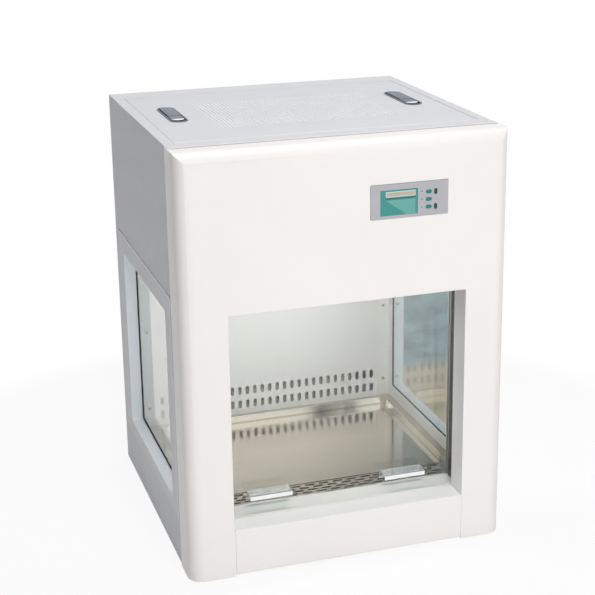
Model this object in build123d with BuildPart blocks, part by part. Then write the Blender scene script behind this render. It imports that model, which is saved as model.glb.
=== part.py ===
from build123d import *
import os
from math import cos, radians, sin

# Desktop vertical laminar flow hood, in millimetres.
# The origin is on the bench under the middle of the cabinet, +Z up, and the front faces -Y.

# Cabinet
body_width = 600.0
body_depth = 590.0
body_height = 782.0
foot_height = 3.0
foot_radius = 15.0
foot_inset = 34.0
panel_sheet = 1.5
panel_fold = 15.0
base_fold = 25.0
bend_radius = 2.5
rear_margin = 6.0
fit_gap = 0.3

# Front moulding, one shell round the top and both sides of the opening
moulding_depth = 74.0
moulding_top_depth = 55.0
moulding_wall = 2.0
moulding_proud = 2.0
corner_radius = 28.0
top_radius = 28.0
leg_width = 81.0
header_height = 285.0
sill_height = 93.0
reveal_depth = 50.0
panel_tongue = 32.0

# Bar across the foot of the opening
bar_wall = 2.0
bar_side_gap = 1.5
bar_ground_gap = 5.0
bar_foot = 24.0
bar_rear_drop = 78.0

# Sash, its guides and its two handles
sash_thickness = 5.0
sash_setback = 97.5
sash_overlap = 18.0
sash_entry = 11.0
groove_side_gap = 1.5
guide_face_inset = 11.0
guide_width = 18.0
guide_wall = 2.5
guide_behind_sash = 5.0
handle_length = 80.0
handle_side_inset = 88.0
handle_reach = 30.0
handle_wall = 3.0
handle_top = 123.0
handle_lip = 9.0
handle_bond = 15.0

# Work chamber
liner_inset = 28.0
liner_sheet = 1.2
rear_duct_depth = 70.0
liner_front_fold = 24.0
liner_rear_fold = 28.0
liner_foot = 16.0
sill_sheet = 1.5
sill_drop = 18.0
grille_depth = 47.0
grille_drop = 12.0
grille_rows = 4
grille_row_pitch = 10.0
grille_pitch = 28.0
grille_slot_length = 20.0
grille_slot_width = 6.0
grille_side_margin = 28.0
floor_sheet = 1.5
tray_side_gap = 31.0
tray_rear_gap = 49.0
tray_front_gap = 2.0
tray_lip = 15.0
tray_sheet = 1.5
tray_corner = 8.0
tray_lip_round = 6.0
back_slot_rows = 2
back_slot_row_pitch = 31.0
back_slot_margin = 40.0
back_slot_pitch = 16.5
back_slot_height = 18.0
back_slot_width = 8.0
back_slot_low = 112.0
slot_end_cut = 0.3

# Side windows
window_setback = 125.0
window_length = 378.0
window_sill = 117.0
window_head_gap = 20.0
window_corner = 3.0
surround_proud = 2.0
surround_front = 43.0
surround_rear = 52.0
surround_low = 26.0
surround_high = 35.0
surround_corner = 4.0
surround_edge = 0.8
reveal_wall = 1.5
window_glass_thickness = 4.0
gasket_depth = 5.8
gasket_cover = 2.0
gasket_bite = 8.0
gasket_width = 12.0

# Air path: ceiling, filter and fan
ceiling_gap = 1.0
ceiling_ledge = 18.0
diffuser_sheet = 1.5
diffuser_slot_length = 46.0
diffuser_slot_width = 10.0
diffuser_pitch_x = 60.0
diffuser_pitch_y = 72.0
filter_gasket = 4.0
filter_height = 69.0
filter_wall = 15.0
filter_side_gap = 7.0
filter_media_sheet = 1.0
filter_pleat_pitch = 12.0
filter_media_inset = 5.0
intake_height = 82.0
deck_sheet = 2.0
deck_overhang = 16.0
ring_flange_radius = 108.0
ring_throat_radius = 72.0
ring_wall = 1.5
ring_mouth_flare = 18.0
ring_mouth_rise = 18.0
ring_depth = 24.0
impeller_radius = 100.0
impeller_eye_clearance = 2.5
impeller_sheet = 1.5
impeller_width = 58.0
impeller_shroud_rise = 12.0
impeller_overlap = 4.0
blade_count = 7
blade_inner_radius = 52.0
fan_blade_lean = 35.0
fan_blade_length = 50.0
hub_radius = 14.0
hub_length = 24.0
shaft_radius = 5.0
shaft_clearance = 0.05
motor_radius = 42.0
motor_length = 24.0
motor_gap = 3.0
bracket_sheet = 2.0
bracket_arm = 24.0
bracket_leg_radius = 122.0
bracket_foot = 16.0
bracket_legs = 4

# Lamps under the front of the ceiling
lamp_end_gap = 32.0
lamp_radius = 8.0
lamp_spacing = 22.0
lamp_drop = 24.0
lamp_setback = 14.0
fitting_height = 10.0
fitting_depth = 46.0
fitting_chamfer = 3.0
holder_length = 12.0
holder_drop = 12.0

# Top: frame, lift-off cover, prefilter and the cover's two flush handles
rail_gap = 1.5
top_sheet = 2.0
top_edge = 1.2
rail_front_setback = 98.0
cover_length = 434.0
cover_side_rim = 20.0
cover_skirt = 12.0
cover_ledge = 12.0
cover_sheet = 2.0
cover_edge = 2.5
intake_columns = 6
intake_rows = 8
intake_pitch_x = 58.0
intake_pitch_y = 33.0
intake_slot_length = 50.0
intake_slot_width = 7.0
intake_setback = 310.0
prefilter_height = 14.0
prefilter_margin = 12.0
prefilter_wall = 1.5
prefilter_lip = 8.0
pull_length = 142.0
pull_width = 34.0
pull_inset = 52.0
pull_setback = 337.0
pull_bezel = 5.0
pull_bezel_height = 2.0
pull_depth = 17.0
pull_wall = 1.5
pull_finger = 26.0
lever_thickness = 4.0
lever_rise = 1.5
lever_clearance = 0.6
lever_lip = 3.0
lever_step = 38.0
pin_radius = 2.0
pin_clearance = 0.05
pin_boss = 4.5
pin_from_end = 16.0

# Display panel and its keys
fascia_width = 143.5
fascia_height = 61.0
fascia_side_inset = 118.5
fascia_drop = 110.0
fascia_thickness = 2.5
fascia_proud = 0.5
display_width = 69.6
display_height = 45.4
display_left = 17.3
display_top = 10.4
display_thickness = 1.8
display_sink = 0.3
round_key_width = 10.6
round_key_height = 6.0
round_key_left = 101.8
round_key_tops = (15.8, 29.1, 42.8)
tall_key_width = 5.7
tall_key_height = 10.0
tall_key_left = 117.2
tall_key_tops = (14.4, 40.9)
key_clearance = 0.3
key_proud = 0.6
key_rim = 0.5
key_rim_thickness = 1.0
key_stem = 5.0
board_thickness = 1.6
board_margin = 6.0
board_gap = 8.0
standoff_width = 6.0

# Mains inlet and the screws
inlet_side_inset = 90.0
inlet_centre_z = 62.0
inlet_width = 28.0
inlet_height = 48.0
inlet_flange = 11.0
inlet_flange_thickness = 2.0
inlet_depth = 26.0
socket_width = 24.0
socket_height = 16.5
socket_depth = 17.0
socket_chamfer = 5.0
drawer_height = 12.0
drawer_proud = 1.0
blade_width = 2.0
blade_height = 4.0
blade_length = 12.0
blade_spread = 7.0
blade_wall = 4.0
screw_head_radius = 3.5
screw_head_height = 1.8
screw_head_sides = 8
liner_screw_low = 130.0
liner_screw_drop = 32.0
liner_screw_rows = 3
rear_screw_rows = 4

# Derived planes of the cabinet
side_x = body_width / 2
skin_x = side_x - panel_sheet
moulding_x = side_x + moulding_proud
front_y = -body_depth / 2
rear_y = body_depth / 2
rear_flange_y = rear_y - panel_sheet
base_z = foot_height + panel_sheet
panel_top_z = body_height - top_sheet
opening_x = side_x - leg_width
opening_top_z = body_height - header_height
reveal_y = front_y + reveal_depth
sash_y = front_y + sash_setback
sash_front_y = sash_y - sash_thickness / 2
sash_rear_y = sash_y + sash_thickness / 2
guide_x = opening_x + guide_face_inset
guide_rear_y = sash_rear_y + guide_behind_sash
sash_x = guide_x + sash_entry
chamber_x = side_x - liner_inset
liner_x = chamber_x + liner_sheet
chamber_front_y = guide_rear_y
chamber_rear_y = rear_y - rear_duct_depth
back_panel_y = chamber_rear_y + liner_sheet
back_panel_rear_y = back_panel_y + liner_sheet
grille_front_y = sash_rear_y
grille_rear_y = grille_front_y + grille_depth
floor_z = sill_height - tray_sheet
window_front_y = front_y + window_setback
window_y = window_front_y + window_length / 2
window_height = opening_top_z - window_head_gap - window_sill
window_z = window_sill + window_height / 2
ceiling_height = opening_top_z + ceiling_gap
deck_height = body_height - intake_height
deck_top_z = deck_height + deck_sheet
ledge_z = body_height - cover_skirt
well_low_z = ledge_z - cover_sheet

os.makedirs("parts", exist_ok=True)


def block(x, y, z, mode=Mode.ADD):
    """Adds or cuts the block between two x, two y and two z values."""
    with Locations(((x[0] + x[1]) / 2, (y[0] + y[1]) / 2, (z[0] + z[1]) / 2)):
        Box(x[1] - x[0], y[1] - y[0], z[1] - z[0], mode=mode)


def fold(points, thickness):
    """Draws the section of a folded sheet along the middle of its thickness."""
    with BuildLine() as middle:
        FilletPolyline(*points, radius=bend_radius)
    trace(middle.edges(), line_width=thickness)


def slot_outline(width, height):
    """The eight corners of a punched slot, with its ends rounded off in one flat each."""
    half_x = width / 2
    half_y = height / 2
    cut = min(width, height) * slot_end_cut
    corners = [(half_x, half_y - cut), (half_x - cut, half_y)]
    upper = corners + [(-x, y) for x, y in reversed(corners)]
    return upper + [(-x, -y) for x, y in upper]


def save_pair(piece, name):
    """Writes the right-hand piece and its mirror image on the left."""
    piece.label = f"right_{name}"
    export_step(piece, f"parts/right_{name}.step")
    left = mirror(piece, about=Plane.YZ)
    left.label = f"left_{name}"
    export_step(left, f"parts/left_{name}.step")


# Base pan: the bottom sheet with its four edges folded up
pan_front_y = reveal_y
pan_rear_y = rear_flange_y - panel_sheet

with BuildPart() as base_pan:
    block((-skin_x, skin_x), (pan_front_y, pan_rear_y), (foot_height, foot_height + base_fold))
    block(
        (-skin_x + panel_sheet, skin_x - panel_sheet),
        (pan_front_y + panel_sheet, pan_rear_y - panel_sheet),
        (base_z, body_height),
        Mode.SUBTRACT,
    )
    fillet(edges().filter_by(Axis.Z).group_by(Axis.Y)[-1].sort_by(Axis.X)[0], bend_radius)
    fillet(edges().filter_by(Axis.Z).group_by(Axis.Y)[-1].sort_by(Axis.X)[-1], bend_radius)
base_pan.part.label = "base_pan"
export_step(base_pan.part, "parts/base_pan.step")

# Rubber feet
feet_y = (pan_front_y + pan_rear_y) / 2
feet_span_x = 2 * (skin_x - foot_inset)
feet_span_y = pan_rear_y - pan_front_y - 2 * foot_inset

with BuildPart() as feet:
    with BuildSketch():
        with Locations((0, feet_y)):
            with GridLocations(feet_span_x, feet_span_y, 2, 2):
                Circle(foot_radius)
    extrude(amount=foot_height)
feet.part.label = "feet"
export_step(feet.part, "parts/feet.step")

# Bar across the foot of the opening, folded from one sheet
bar_x = opening_x - bar_side_gap
bar_low_z = foot_height + bar_ground_gap - bar_wall
bar_mid = bar_wall / 2

with BuildPart() as lower_front_bar:
    with BuildSketch(Plane.YZ):
        fold(
            [
                (front_y + bar_foot, bar_low_z + bar_mid),
                (front_y + bar_mid, bar_low_z + bar_mid),
                (front_y + bar_mid, sill_height - bar_mid),
                (reveal_y - bar_mid, sill_height - bar_mid),
                (reveal_y - bar_mid, sill_height - bar_rear_drop),
            ],
            bar_wall,
        )
    extrude(amount=bar_x, both=True)
lower_front_bar.part.label = "lower_front_bar"
export_step(lower_front_bar.part, "parts/lower_front_bar.step")


# Front moulding: two crossed profiles, so that its rounded edges meet in a mitre
def moulding_form(inset):
    """The moulding's outer form, with its skin moved inwards by the inset."""
    half_width = moulding_x - inset
    form_front_y = front_y + inset
    form_depth = moulding_depth - inset
    form_top_z = body_height - inset
    with BuildPart() as form:
        with BuildSketch(Plane.XY):
            with Locations((0, form_front_y + form_depth / 2)):
                plan = Rectangle(2 * half_width, form_depth)
            fillet(plan.vertices().group_by(Axis.Y)[0], corner_radius - inset)
        extrude(amount=form_top_z)
        with BuildSketch(Plane.YZ):
            with Locations((form_front_y + form_depth / 2, form_top_z / 2)):
                side = Rectangle(form_depth, form_top_z)
            fillet(side.vertices().group_by(Axis.Y)[-1].sort_by(Axis.X)[0], top_radius - inset)
        extrude(amount=half_width, both=True, mode=Mode.INTERSECT)
    return form.part


moulding_skin = moulding_form(0.0)
moulding_hollow = moulding_form(moulding_wall)
fascia_centre_x = side_x - fascia_side_inset - fascia_width / 2
fascia_centre_z = body_height - fascia_drop
fascia_hole = (fascia_width + 2 * fit_gap, fascia_height + 2 * fit_gap)

with BuildPart() as front_moulding:
    add(moulding_skin)
    add(moulding_hollow, mode=Mode.SUBTRACT)
    with BuildSketch(Plane.XZ.offset(-front_y)):
        with Locations((0, opening_top_z / 2)):
            Rectangle(2 * (opening_x + moulding_wall), opening_top_z + 2 * moulding_wall)
    extrude(amount=-reveal_depth)
    block(
        (-opening_x, opening_x),
        (front_y - moulding_wall, reveal_y + moulding_wall),
        (-body_height, opening_top_z),
        Mode.SUBTRACT,
    )
    block((-body_width, body_width), (-body_depth, body_depth), (-body_height, foot_height), Mode.SUBTRACT)
    block(
        (-side_x, side_x),
        (front_y + moulding_top_depth, rear_y),
        (panel_top_z, body_height + top_sheet),
        Mode.SUBTRACT,
    )
    with BuildSketch(Plane.XZ.offset(-front_y)):
        with Locations((fascia_centre_x, fascia_centre_z)):
            Rectangle(*fascia_hole)
    extrude(amount=-moulding_wall, mode=Mode.SUBTRACT)
front_moulding.part.label = "front_moulding"
export_step(front_moulding.part, "parts/front_moulding.step")

# Side panels: skin with its rear and top edges folded in, cut out for the window
panel_front_y = front_y + moulding_depth - panel_tongue
panel_hole_length = window_length + 2 * (reveal_wall + fit_gap)
panel_hole_height = window_height + 2 * (reveal_wall + fit_gap)
panel_mid_x = side_x - panel_sheet / 2
flange_mid_y = rear_flange_y - panel_sheet / 2

with BuildPart() as side_panel:
    with BuildSketch(Plane.XY.offset(foot_height)):
        fold(
            [
                (panel_mid_x, panel_front_y),
                (panel_mid_x, flange_mid_y),
                (side_x - panel_fold, flange_mid_y),
            ],
            panel_sheet,
        )
    extrude(amount=panel_top_z - foot_height)
    block(
        (side_x - panel_fold, side_x - panel_sheet),
        (panel_front_y, rear_flange_y - 2 * panel_sheet),
        (panel_top_z - panel_sheet, panel_top_z),
    )
    with BuildSketch(Plane.YZ.offset(skin_x)):
        with Locations((window_y, window_z)):
            RectangleRounded(panel_hole_length, panel_hole_height, window_corner + reveal_wall)
    extrude(amount=panel_sheet, mode=Mode.SUBTRACT)
save_pair(side_panel.part, "side_panel")

# Window surrounds: a raised plate outside and a reveal that reaches in to the gasket
gasket_outer_x = liner_x + gasket_depth
surround_y = window_front_y - surround_front
surround_length = surround_front + window_length + surround_rear
surround_height = surround_low + window_height + surround_high
surround_mid_y = surround_y + surround_length / 2
surround_mid_z = window_sill - surround_low + surround_height / 2

with BuildPart() as window_surround:
    with BuildSketch(Plane.YZ.offset(side_x)):
        with Locations((surround_mid_y, surround_mid_z)):
            RectangleRounded(surround_length, surround_height, surround_corner)
    extrude(amount=surround_proud)
    chamfer(faces().sort_by(Axis.X)[-1].edges(), surround_edge)
    with BuildSketch(Plane.YZ.offset(gasket_outer_x)):
        with Locations((window_y, window_z)):
            RectangleRounded(
                window_length + 2 * reveal_wall,
                window_height + 2 * reveal_wall,
                window_corner + reveal_wall,
            )
    extrude(amount=side_x - gasket_outer_x)
    with BuildSketch(Plane.YZ.offset(gasket_outer_x)):
        with Locations((window_y, window_z)):
            RectangleRounded(window_length, window_height, window_corner)
    extrude(amount=side_x + surround_proud - gasket_outer_x, mode=Mode.SUBTRACT)
save_pair(window_surround.part, "window_surround")

# Window glass
glass_inner_x = liner_x + (gasket_depth - window_glass_thickness) / 2

with BuildPart() as window_glass:
    with BuildSketch(Plane.YZ.offset(glass_inner_x)):
        with Locations((window_y, window_z)):
            RectangleRounded(window_length + 2 * gasket_bite, window_height + 2 * gasket_bite, window_corner)
    extrude(amount=window_glass_thickness)
save_pair(window_glass.part, "window_glass")

# Window gaskets: a rubber ring with a groove round the edge of the glass
with BuildPart() as window_gasket:
    with BuildSketch(Plane.YZ.offset(liner_x)):
        with Locations((window_y, window_z)):
            RectangleRounded(
                window_length + 2 * gasket_width,
                window_height + 2 * gasket_width,
                window_corner + gasket_width,
            )
            Rectangle(
                window_length - 2 * gasket_cover,
                window_height - 2 * gasket_cover,
                mode=Mode.SUBTRACT,
            )
    extrude(amount=gasket_depth)
    add(window_glass.part, mode=Mode.SUBTRACT)
save_pair(window_gasket.part, "window_gasket")

# Chamber side liners: they carry the fan deck and stand on the base pan
with BuildPart() as inner_liner:
    block((chamber_x, liner_x), (chamber_front_y, back_panel_y), (base_z, deck_height))
    block(
        (chamber_x - liner_front_fold, chamber_x),
        (chamber_front_y, chamber_front_y + liner_sheet),
        (sill_height, deck_height),
    )
    block(
        (chamber_x - liner_rear_fold, chamber_x),
        (chamber_rear_y, back_panel_y),
        (floor_z, deck_height),
    )
    block((liner_x, liner_x + liner_foot), (chamber_front_y, back_panel_y), (base_z, base_z + liner_sheet))
    block(
        (liner_x, liner_x + liner_foot),
        (chamber_front_y, back_panel_y),
        (deck_height - liner_sheet, deck_height),
    )
    with BuildSketch(Plane.YZ.offset(chamber_x)):
        with Locations((window_y, window_z)):
            RectangleRounded(window_length, window_height, window_corner)
    extrude(amount=liner_sheet, mode=Mode.SUBTRACT)
save_pair(inner_liner.part, "inner_liner")

# Inner back panel: one sheet with the return air slots along its foot
back_slots_z = back_slot_low + (back_slot_rows - 1) * back_slot_row_pitch / 2
back_slot_count = int((2 * chamber_x - 2 * back_slot_margin) / back_slot_pitch) + 1

with BuildPart() as back_inner_panel:
    with BuildSketch(Plane.YZ):
        fold(
            [
                (back_panel_y + liner_sheet / 2, floor_z - floor_sheet),
                (back_panel_y + liner_sheet / 2, deck_height - liner_sheet / 2),
                (back_panel_y + deck_overhang, deck_height - liner_sheet / 2),
            ],
            liner_sheet,
        )
    extrude(amount=chamber_x, both=True)
    with BuildSketch(Plane.XZ.offset(-back_panel_y)):
        with Locations((0, back_slots_z)):
            with GridLocations(back_slot_pitch, back_slot_row_pitch, back_slot_count, back_slot_rows):
                Polygon(*slot_outline(back_slot_width, back_slot_height))
    extrude(amount=-liner_sheet, mode=Mode.SUBTRACT)
back_inner_panel.part.label = "back_inner_panel"
export_step(back_inner_panel.part, "parts/back_inner_panel.step")

# Sill that the sash closes on
sill_x = chamber_x - fit_gap
sill_mid = sill_sheet / 2

with BuildPart() as front_sill:
    with BuildSketch(Plane.YZ):
        fold(
            [
                (reveal_y + sill_mid, sill_height - sill_drop),
                (reveal_y + sill_mid, sill_height - sill_mid),
                (grille_front_y - sill_mid, sill_height - sill_mid),
                (grille_front_y - sill_mid, sill_height - sill_drop),
            ],
            sill_sheet,
        )
    extrude(amount=sill_x, both=True)
front_sill.part.label = "front_sill"
export_step(front_sill.part, "parts/front_sill.step")

# Front intake grille: rows of slots, every second row moved by half a pitch
grille_columns = int((2 * sill_x - 2 * grille_side_margin) / grille_pitch) - 1
grille_mid_y = (grille_front_y + grille_rear_y) / 2
slot_centres = [
    ((row % 2 - 0.5) * grille_pitch / 2, grille_mid_y + (row - (grille_rows - 1) / 2) * grille_row_pitch)
    for row in range(grille_rows)
]

with BuildPart() as front_grille:
    with BuildSketch(Plane.YZ):
        fold(
            [
                (grille_front_y + sill_mid, sill_height - grille_drop),
                (grille_front_y + sill_mid, sill_height - sill_mid),
                (grille_rear_y - sill_mid, sill_height - sill_mid),
                (grille_rear_y - sill_mid, sill_height - grille_drop),
            ],
            sill_sheet,
        )
    extrude(amount=sill_x, both=True)
    with BuildSketch(Plane.XY.offset(sill_height)):
        with Locations(*slot_centres):
            with GridLocations(grille_pitch, 1.0, grille_columns, 1):
                Rectangle(grille_slot_length, grille_slot_width)
    extrude(amount=-sill_sheet, mode=Mode.SUBTRACT)
front_grille.part.label = "front_grille"
export_step(front_grille.part, "parts/front_grille.step")

# Chamber floor under the tray
with BuildPart() as chamber_floor:
    with BuildSketch(Plane.YZ):
        fold(
            [
                (grille_rear_y + floor_sheet / 2, floor_z - sill_drop),
                (grille_rear_y + floor_sheet / 2, floor_z - floor_sheet / 2),
                (chamber_rear_y - floor_sheet / 2, floor_z - floor_sheet / 2),
                (chamber_rear_y - floor_sheet / 2, floor_z - sill_drop),
            ],
            floor_sheet,
        )
    extrude(amount=chamber_x, both=True)
chamber_floor.part.label = "chamber_floor"
export_step(chamber_floor.part, "parts/chamber_floor.step")

# Work tray: stainless, with a lip at the rear and one at each side
tray_front_y = grille_rear_y + tray_front_gap
tray_rear_y = chamber_rear_y - tray_rear_gap
tray_length = tray_rear_y - tray_front_y
tray_mid_y = (tray_front_y + tray_rear_y) / 2
tray_width = 2 * (chamber_x - tray_side_gap)

with BuildPart() as work_tray:
    with BuildSketch(Plane.XY.offset(floor_z)):
        with Locations((0, tray_mid_y)):
            Rectangle(tray_width, tray_length)
    extrude(amount=tray_sheet)
    with BuildSketch(Plane.YZ.offset(tray_width / 2)):
        with Locations((tray_mid_y, floor_z + (tray_sheet + tray_lip) / 2)):
            side_lip = Rectangle(tray_length - 2 * tray_corner, tray_sheet + tray_lip)
        fillet(side_lip.vertices().group_by(Axis.Y)[-1], tray_lip_round)
    extrude(amount=-tray_sheet)
    mirror(about=Plane.YZ)
    with BuildSketch(Plane.XZ.offset(-tray_rear_y)):
        with Locations((0, floor_z + (tray_sheet + tray_lip) / 2)):
            rear_lip = Rectangle(tray_width - 2 * tray_corner, tray_sheet + tray_lip)
        fillet(rear_lip.vertices().group_by(Axis.Y)[-1], tray_lip_round)
    extrude(amount=tray_sheet)
work_tray.part.label = "work_tray"
export_step(work_tray.part, "parts/work_tray.step")

# Sash guides: hollow extrusions with a groove for the edge of the glass
groove_width = sash_thickness + 2 * fit_gap
groove_depth = sash_entry + groove_side_gap
guide_length_y = guide_rear_y - reveal_y
hollow_front_y = reveal_y + guide_wall
hollow_rear_y = sash_y - groove_width / 2 - guide_wall

with BuildPart() as sash_guide:
    with BuildSketch(Plane.XY.offset(sill_height)):
        with Locations((guide_x + guide_width / 2, (reveal_y + guide_rear_y) / 2)):
            Rectangle(guide_width, guide_length_y)
        with Locations((guide_x + guide_width / 2, (hollow_front_y + hollow_rear_y) / 2)):
            Rectangle(guide_width - 2 * guide_wall, hollow_rear_y - hollow_front_y, mode=Mode.SUBTRACT)
        with Locations((guide_x + groove_depth / 2, sash_y)):
            Rectangle(groove_depth, groove_width, mode=Mode.SUBTRACT)
    extrude(amount=well_low_z - sill_height)
save_pair(sash_guide.part, "sash_guide")

# Sash glass
sash_low_z = sill_height + fit_gap
sash_top_z = opening_top_z + sash_overlap

with BuildPart() as sash_glass:
    block((-sash_x, sash_x), (sash_front_y, sash_rear_y), (sash_low_z, sash_top_z))
    chamfer(edges().filter_by(Axis.X), sash_thickness / 8)
sash_glass.part.label = "sash_glass"
export_step(sash_glass.part, "parts/sash_glass.step")

# Sash handles: clear channels bonded to the front of the glass
handle_mid = handle_wall / 2

with BuildPart() as sash_handle:
    with BuildSketch(Plane.YZ.offset(opening_x - handle_side_inset - handle_length / 2)):
        fold(
            [
                (sash_front_y - handle_mid, handle_top - handle_bond),
                (sash_front_y - handle_mid, handle_top - handle_mid),
                (sash_front_y - handle_reach + handle_mid, handle_top - handle_mid),
                (sash_front_y - handle_reach + handle_mid, handle_top - handle_lip),
            ],
            handle_wall,
        )
    extrude(amount=handle_length)
save_pair(sash_handle.part, "sash_handle")

# Front wall of the filter box
plenum_y = chamber_front_y + liner_sheet

with BuildPart() as plenum_front_wall:
    with BuildSketch(Plane.YZ):
        fold(
            [
                (plenum_y + liner_sheet / 2, ceiling_height),
                (plenum_y + liner_sheet / 2, deck_height - liner_sheet / 2),
                (plenum_y + deck_overhang, deck_height - liner_sheet / 2),
            ],
            liner_sheet,
        )
    extrude(amount=chamber_x, both=True)
plenum_front_wall.part.label = "plenum_front_wall"
export_step(plenum_front_wall.part, "parts/plenum_front_wall.step")

# Ceiling frame: an angle section round the chamber that the filter rests on
ceiling_front_y = plenum_y + liner_sheet
ceiling_mid_y = (ceiling_front_y + chamber_rear_y) / 2
ceiling_length = chamber_rear_y - ceiling_front_y
ceiling_inner = (2 * chamber_x - 2 * ceiling_ledge, ceiling_length - 2 * ceiling_ledge)
frame_z = ceiling_height + diffuser_sheet

with BuildPart() as ceiling_frame:
    with BuildSketch(Plane.XY.offset(ceiling_height)):
        with Locations((0, ceiling_mid_y)):
            Rectangle(2 * chamber_x, ceiling_length)
            Rectangle(*ceiling_inner, mode=Mode.SUBTRACT)
    extrude(amount=diffuser_sheet)
    with BuildSketch(Plane.XY.offset(frame_z)):
        with Locations((0, ceiling_mid_y)):
            Rectangle(2 * chamber_x, ceiling_length)
            Rectangle(
                2 * chamber_x - 2 * liner_sheet,
                ceiling_length - 2 * liner_sheet,
                mode=Mode.SUBTRACT,
            )
    extrude(amount=ceiling_ledge)
ceiling_frame.part.label = "ceiling_frame"
export_step(ceiling_frame.part, "parts/ceiling_frame.step")

# Diffuser screen under the ceiling frame
diffuser_columns = int(2 * chamber_x / diffuser_pitch_x)
diffuser_rows = int(ceiling_length / diffuser_pitch_y)

with BuildPart() as diffuser_screen:
    with BuildSketch(Plane.XY.offset(ceiling_height)):
        with Locations((0, ceiling_mid_y)):
            Rectangle(2 * chamber_x, ceiling_length)
            with GridLocations(diffuser_pitch_x, diffuser_pitch_y, diffuser_columns, diffuser_rows):
                Rectangle(diffuser_slot_length, diffuser_slot_width, mode=Mode.SUBTRACT)
    extrude(amount=-diffuser_sheet)
diffuser_screen.part.label = "diffuser_screen"
export_step(diffuser_screen.part, "parts/diffuser_screen.step")

# Filter: gasket, frame and pleated media
filter_x = chamber_x - filter_side_gap
filter_length = ceiling_length - 2 * filter_side_gap
filter_z = frame_z + filter_gasket
media_x = filter_x - filter_wall
media_length = filter_length - 2 * filter_wall

with BuildPart() as hepa_gasket:
    with BuildSketch(Plane.XY.offset(frame_z)):
        with Locations((0, ceiling_mid_y)):
            Rectangle(2 * filter_x, filter_length)
            Rectangle(2 * media_x, media_length, mode=Mode.SUBTRACT)
    extrude(amount=filter_gasket)
hepa_gasket.part.label = "hepa_gasket"
export_step(hepa_gasket.part, "parts/hepa_gasket.step")

with BuildPart() as hepa_frame:
    with BuildSketch(Plane.XY.offset(filter_z)):
        with Locations((0, ceiling_mid_y)):
            Rectangle(2 * filter_x, filter_length)
            Rectangle(2 * media_x, media_length, mode=Mode.SUBTRACT)
    extrude(amount=filter_height)
    chamfer(edges().group_by(Axis.Z)[-1], filter_wall / 10)
hepa_frame.part.label = "hepa_frame"
export_step(hepa_frame.part, "parts/hepa_frame.step")

pleat_count = int(media_length / filter_pleat_pitch)
pleat_pitch = media_length / pleat_count
pleat_low_z = filter_z + filter_media_inset
pleat_high_z = filter_z + filter_height - filter_media_inset - filter_media_sheet
pleat_front_y = ceiling_mid_y - media_length / 2
pleat_line = [
    (pleat_front_y + step * pleat_pitch / 2, pleat_high_z if step % 2 else pleat_low_z)
    for step in range(2 * pleat_count + 1)
]
pleat_return = [(y, z + filter_media_sheet) for y, z in reversed(pleat_line)]

with BuildPart() as hepa_media:
    with BuildSketch(Plane.YZ):
        with BuildLine():
            Polyline(*pleat_line, *pleat_return, close=True)
        make_face()
    extrude(amount=media_x, both=True)
hepa_media.part.label = "hepa_media"
export_step(hepa_media.part, "parts/hepa_media.step")

# Fan deck: the floor of the intake space, with the fan hung under it
fan_y = (chamber_front_y + back_panel_rear_y) / 2

with BuildPart() as fan_deck:
    block(
        (-liner_x - liner_foot, liner_x + liner_foot),
        (chamber_front_y, back_panel_y + deck_overhang),
        (deck_height, deck_top_z),
    )
    with BuildSketch(Plane.XY.offset(deck_height)):
        with Locations((0, fan_y)):
            Circle(ring_throat_radius + ring_mouth_flare)
    extrude(amount=deck_sheet, mode=Mode.SUBTRACT)
fan_deck.part.label = "fan_deck"
export_step(fan_deck.part, "parts/fan_deck.step")

# Inlet ring: a bell mouth turned about the fan's axis
fan_plane = Plane(origin=(0, fan_y, 0), x_dir=(1, 0, 0), z_dir=(0, -1, 0))
fan_axis = Axis((0, fan_y, 0), (0, 0, 1))
throat_low_z = deck_top_z - ring_depth
mouth_radius = ring_throat_radius + ring_mouth_flare
ring_top_z = deck_top_z + ring_wall
mouth_low_z = ring_top_z - ring_mouth_rise

with BuildPart() as inlet_ring:
    with BuildSketch(fan_plane):
        Polygon(
            (ring_throat_radius, throat_low_z),
            (ring_throat_radius + ring_wall, throat_low_z),
            (ring_throat_radius + ring_wall, mouth_low_z),
            (mouth_radius, deck_top_z),
            (ring_flange_radius, deck_top_z),
            (ring_flange_radius, ring_top_z),
            (mouth_radius - ring_wall, ring_top_z),
            (ring_throat_radius, mouth_low_z + ring_wall),
            align=None,
        )
    revolve(axis=fan_axis)
inlet_ring.part.label = "inlet_ring"
export_step(inlet_ring.part, "parts/inlet_ring.step")

# Impeller: back plate, curved blades, coned shroud and hub
eye_radius = ring_throat_radius + ring_wall + impeller_eye_clearance
shroud_top_z = throat_low_z + impeller_overlap
shroud_low_z = shroud_top_z - impeller_shroud_rise
blade_eye_z = throat_low_z - impeller_eye_clearance
back_plate_z = shroud_low_z - impeller_width + impeller_shroud_rise

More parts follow.
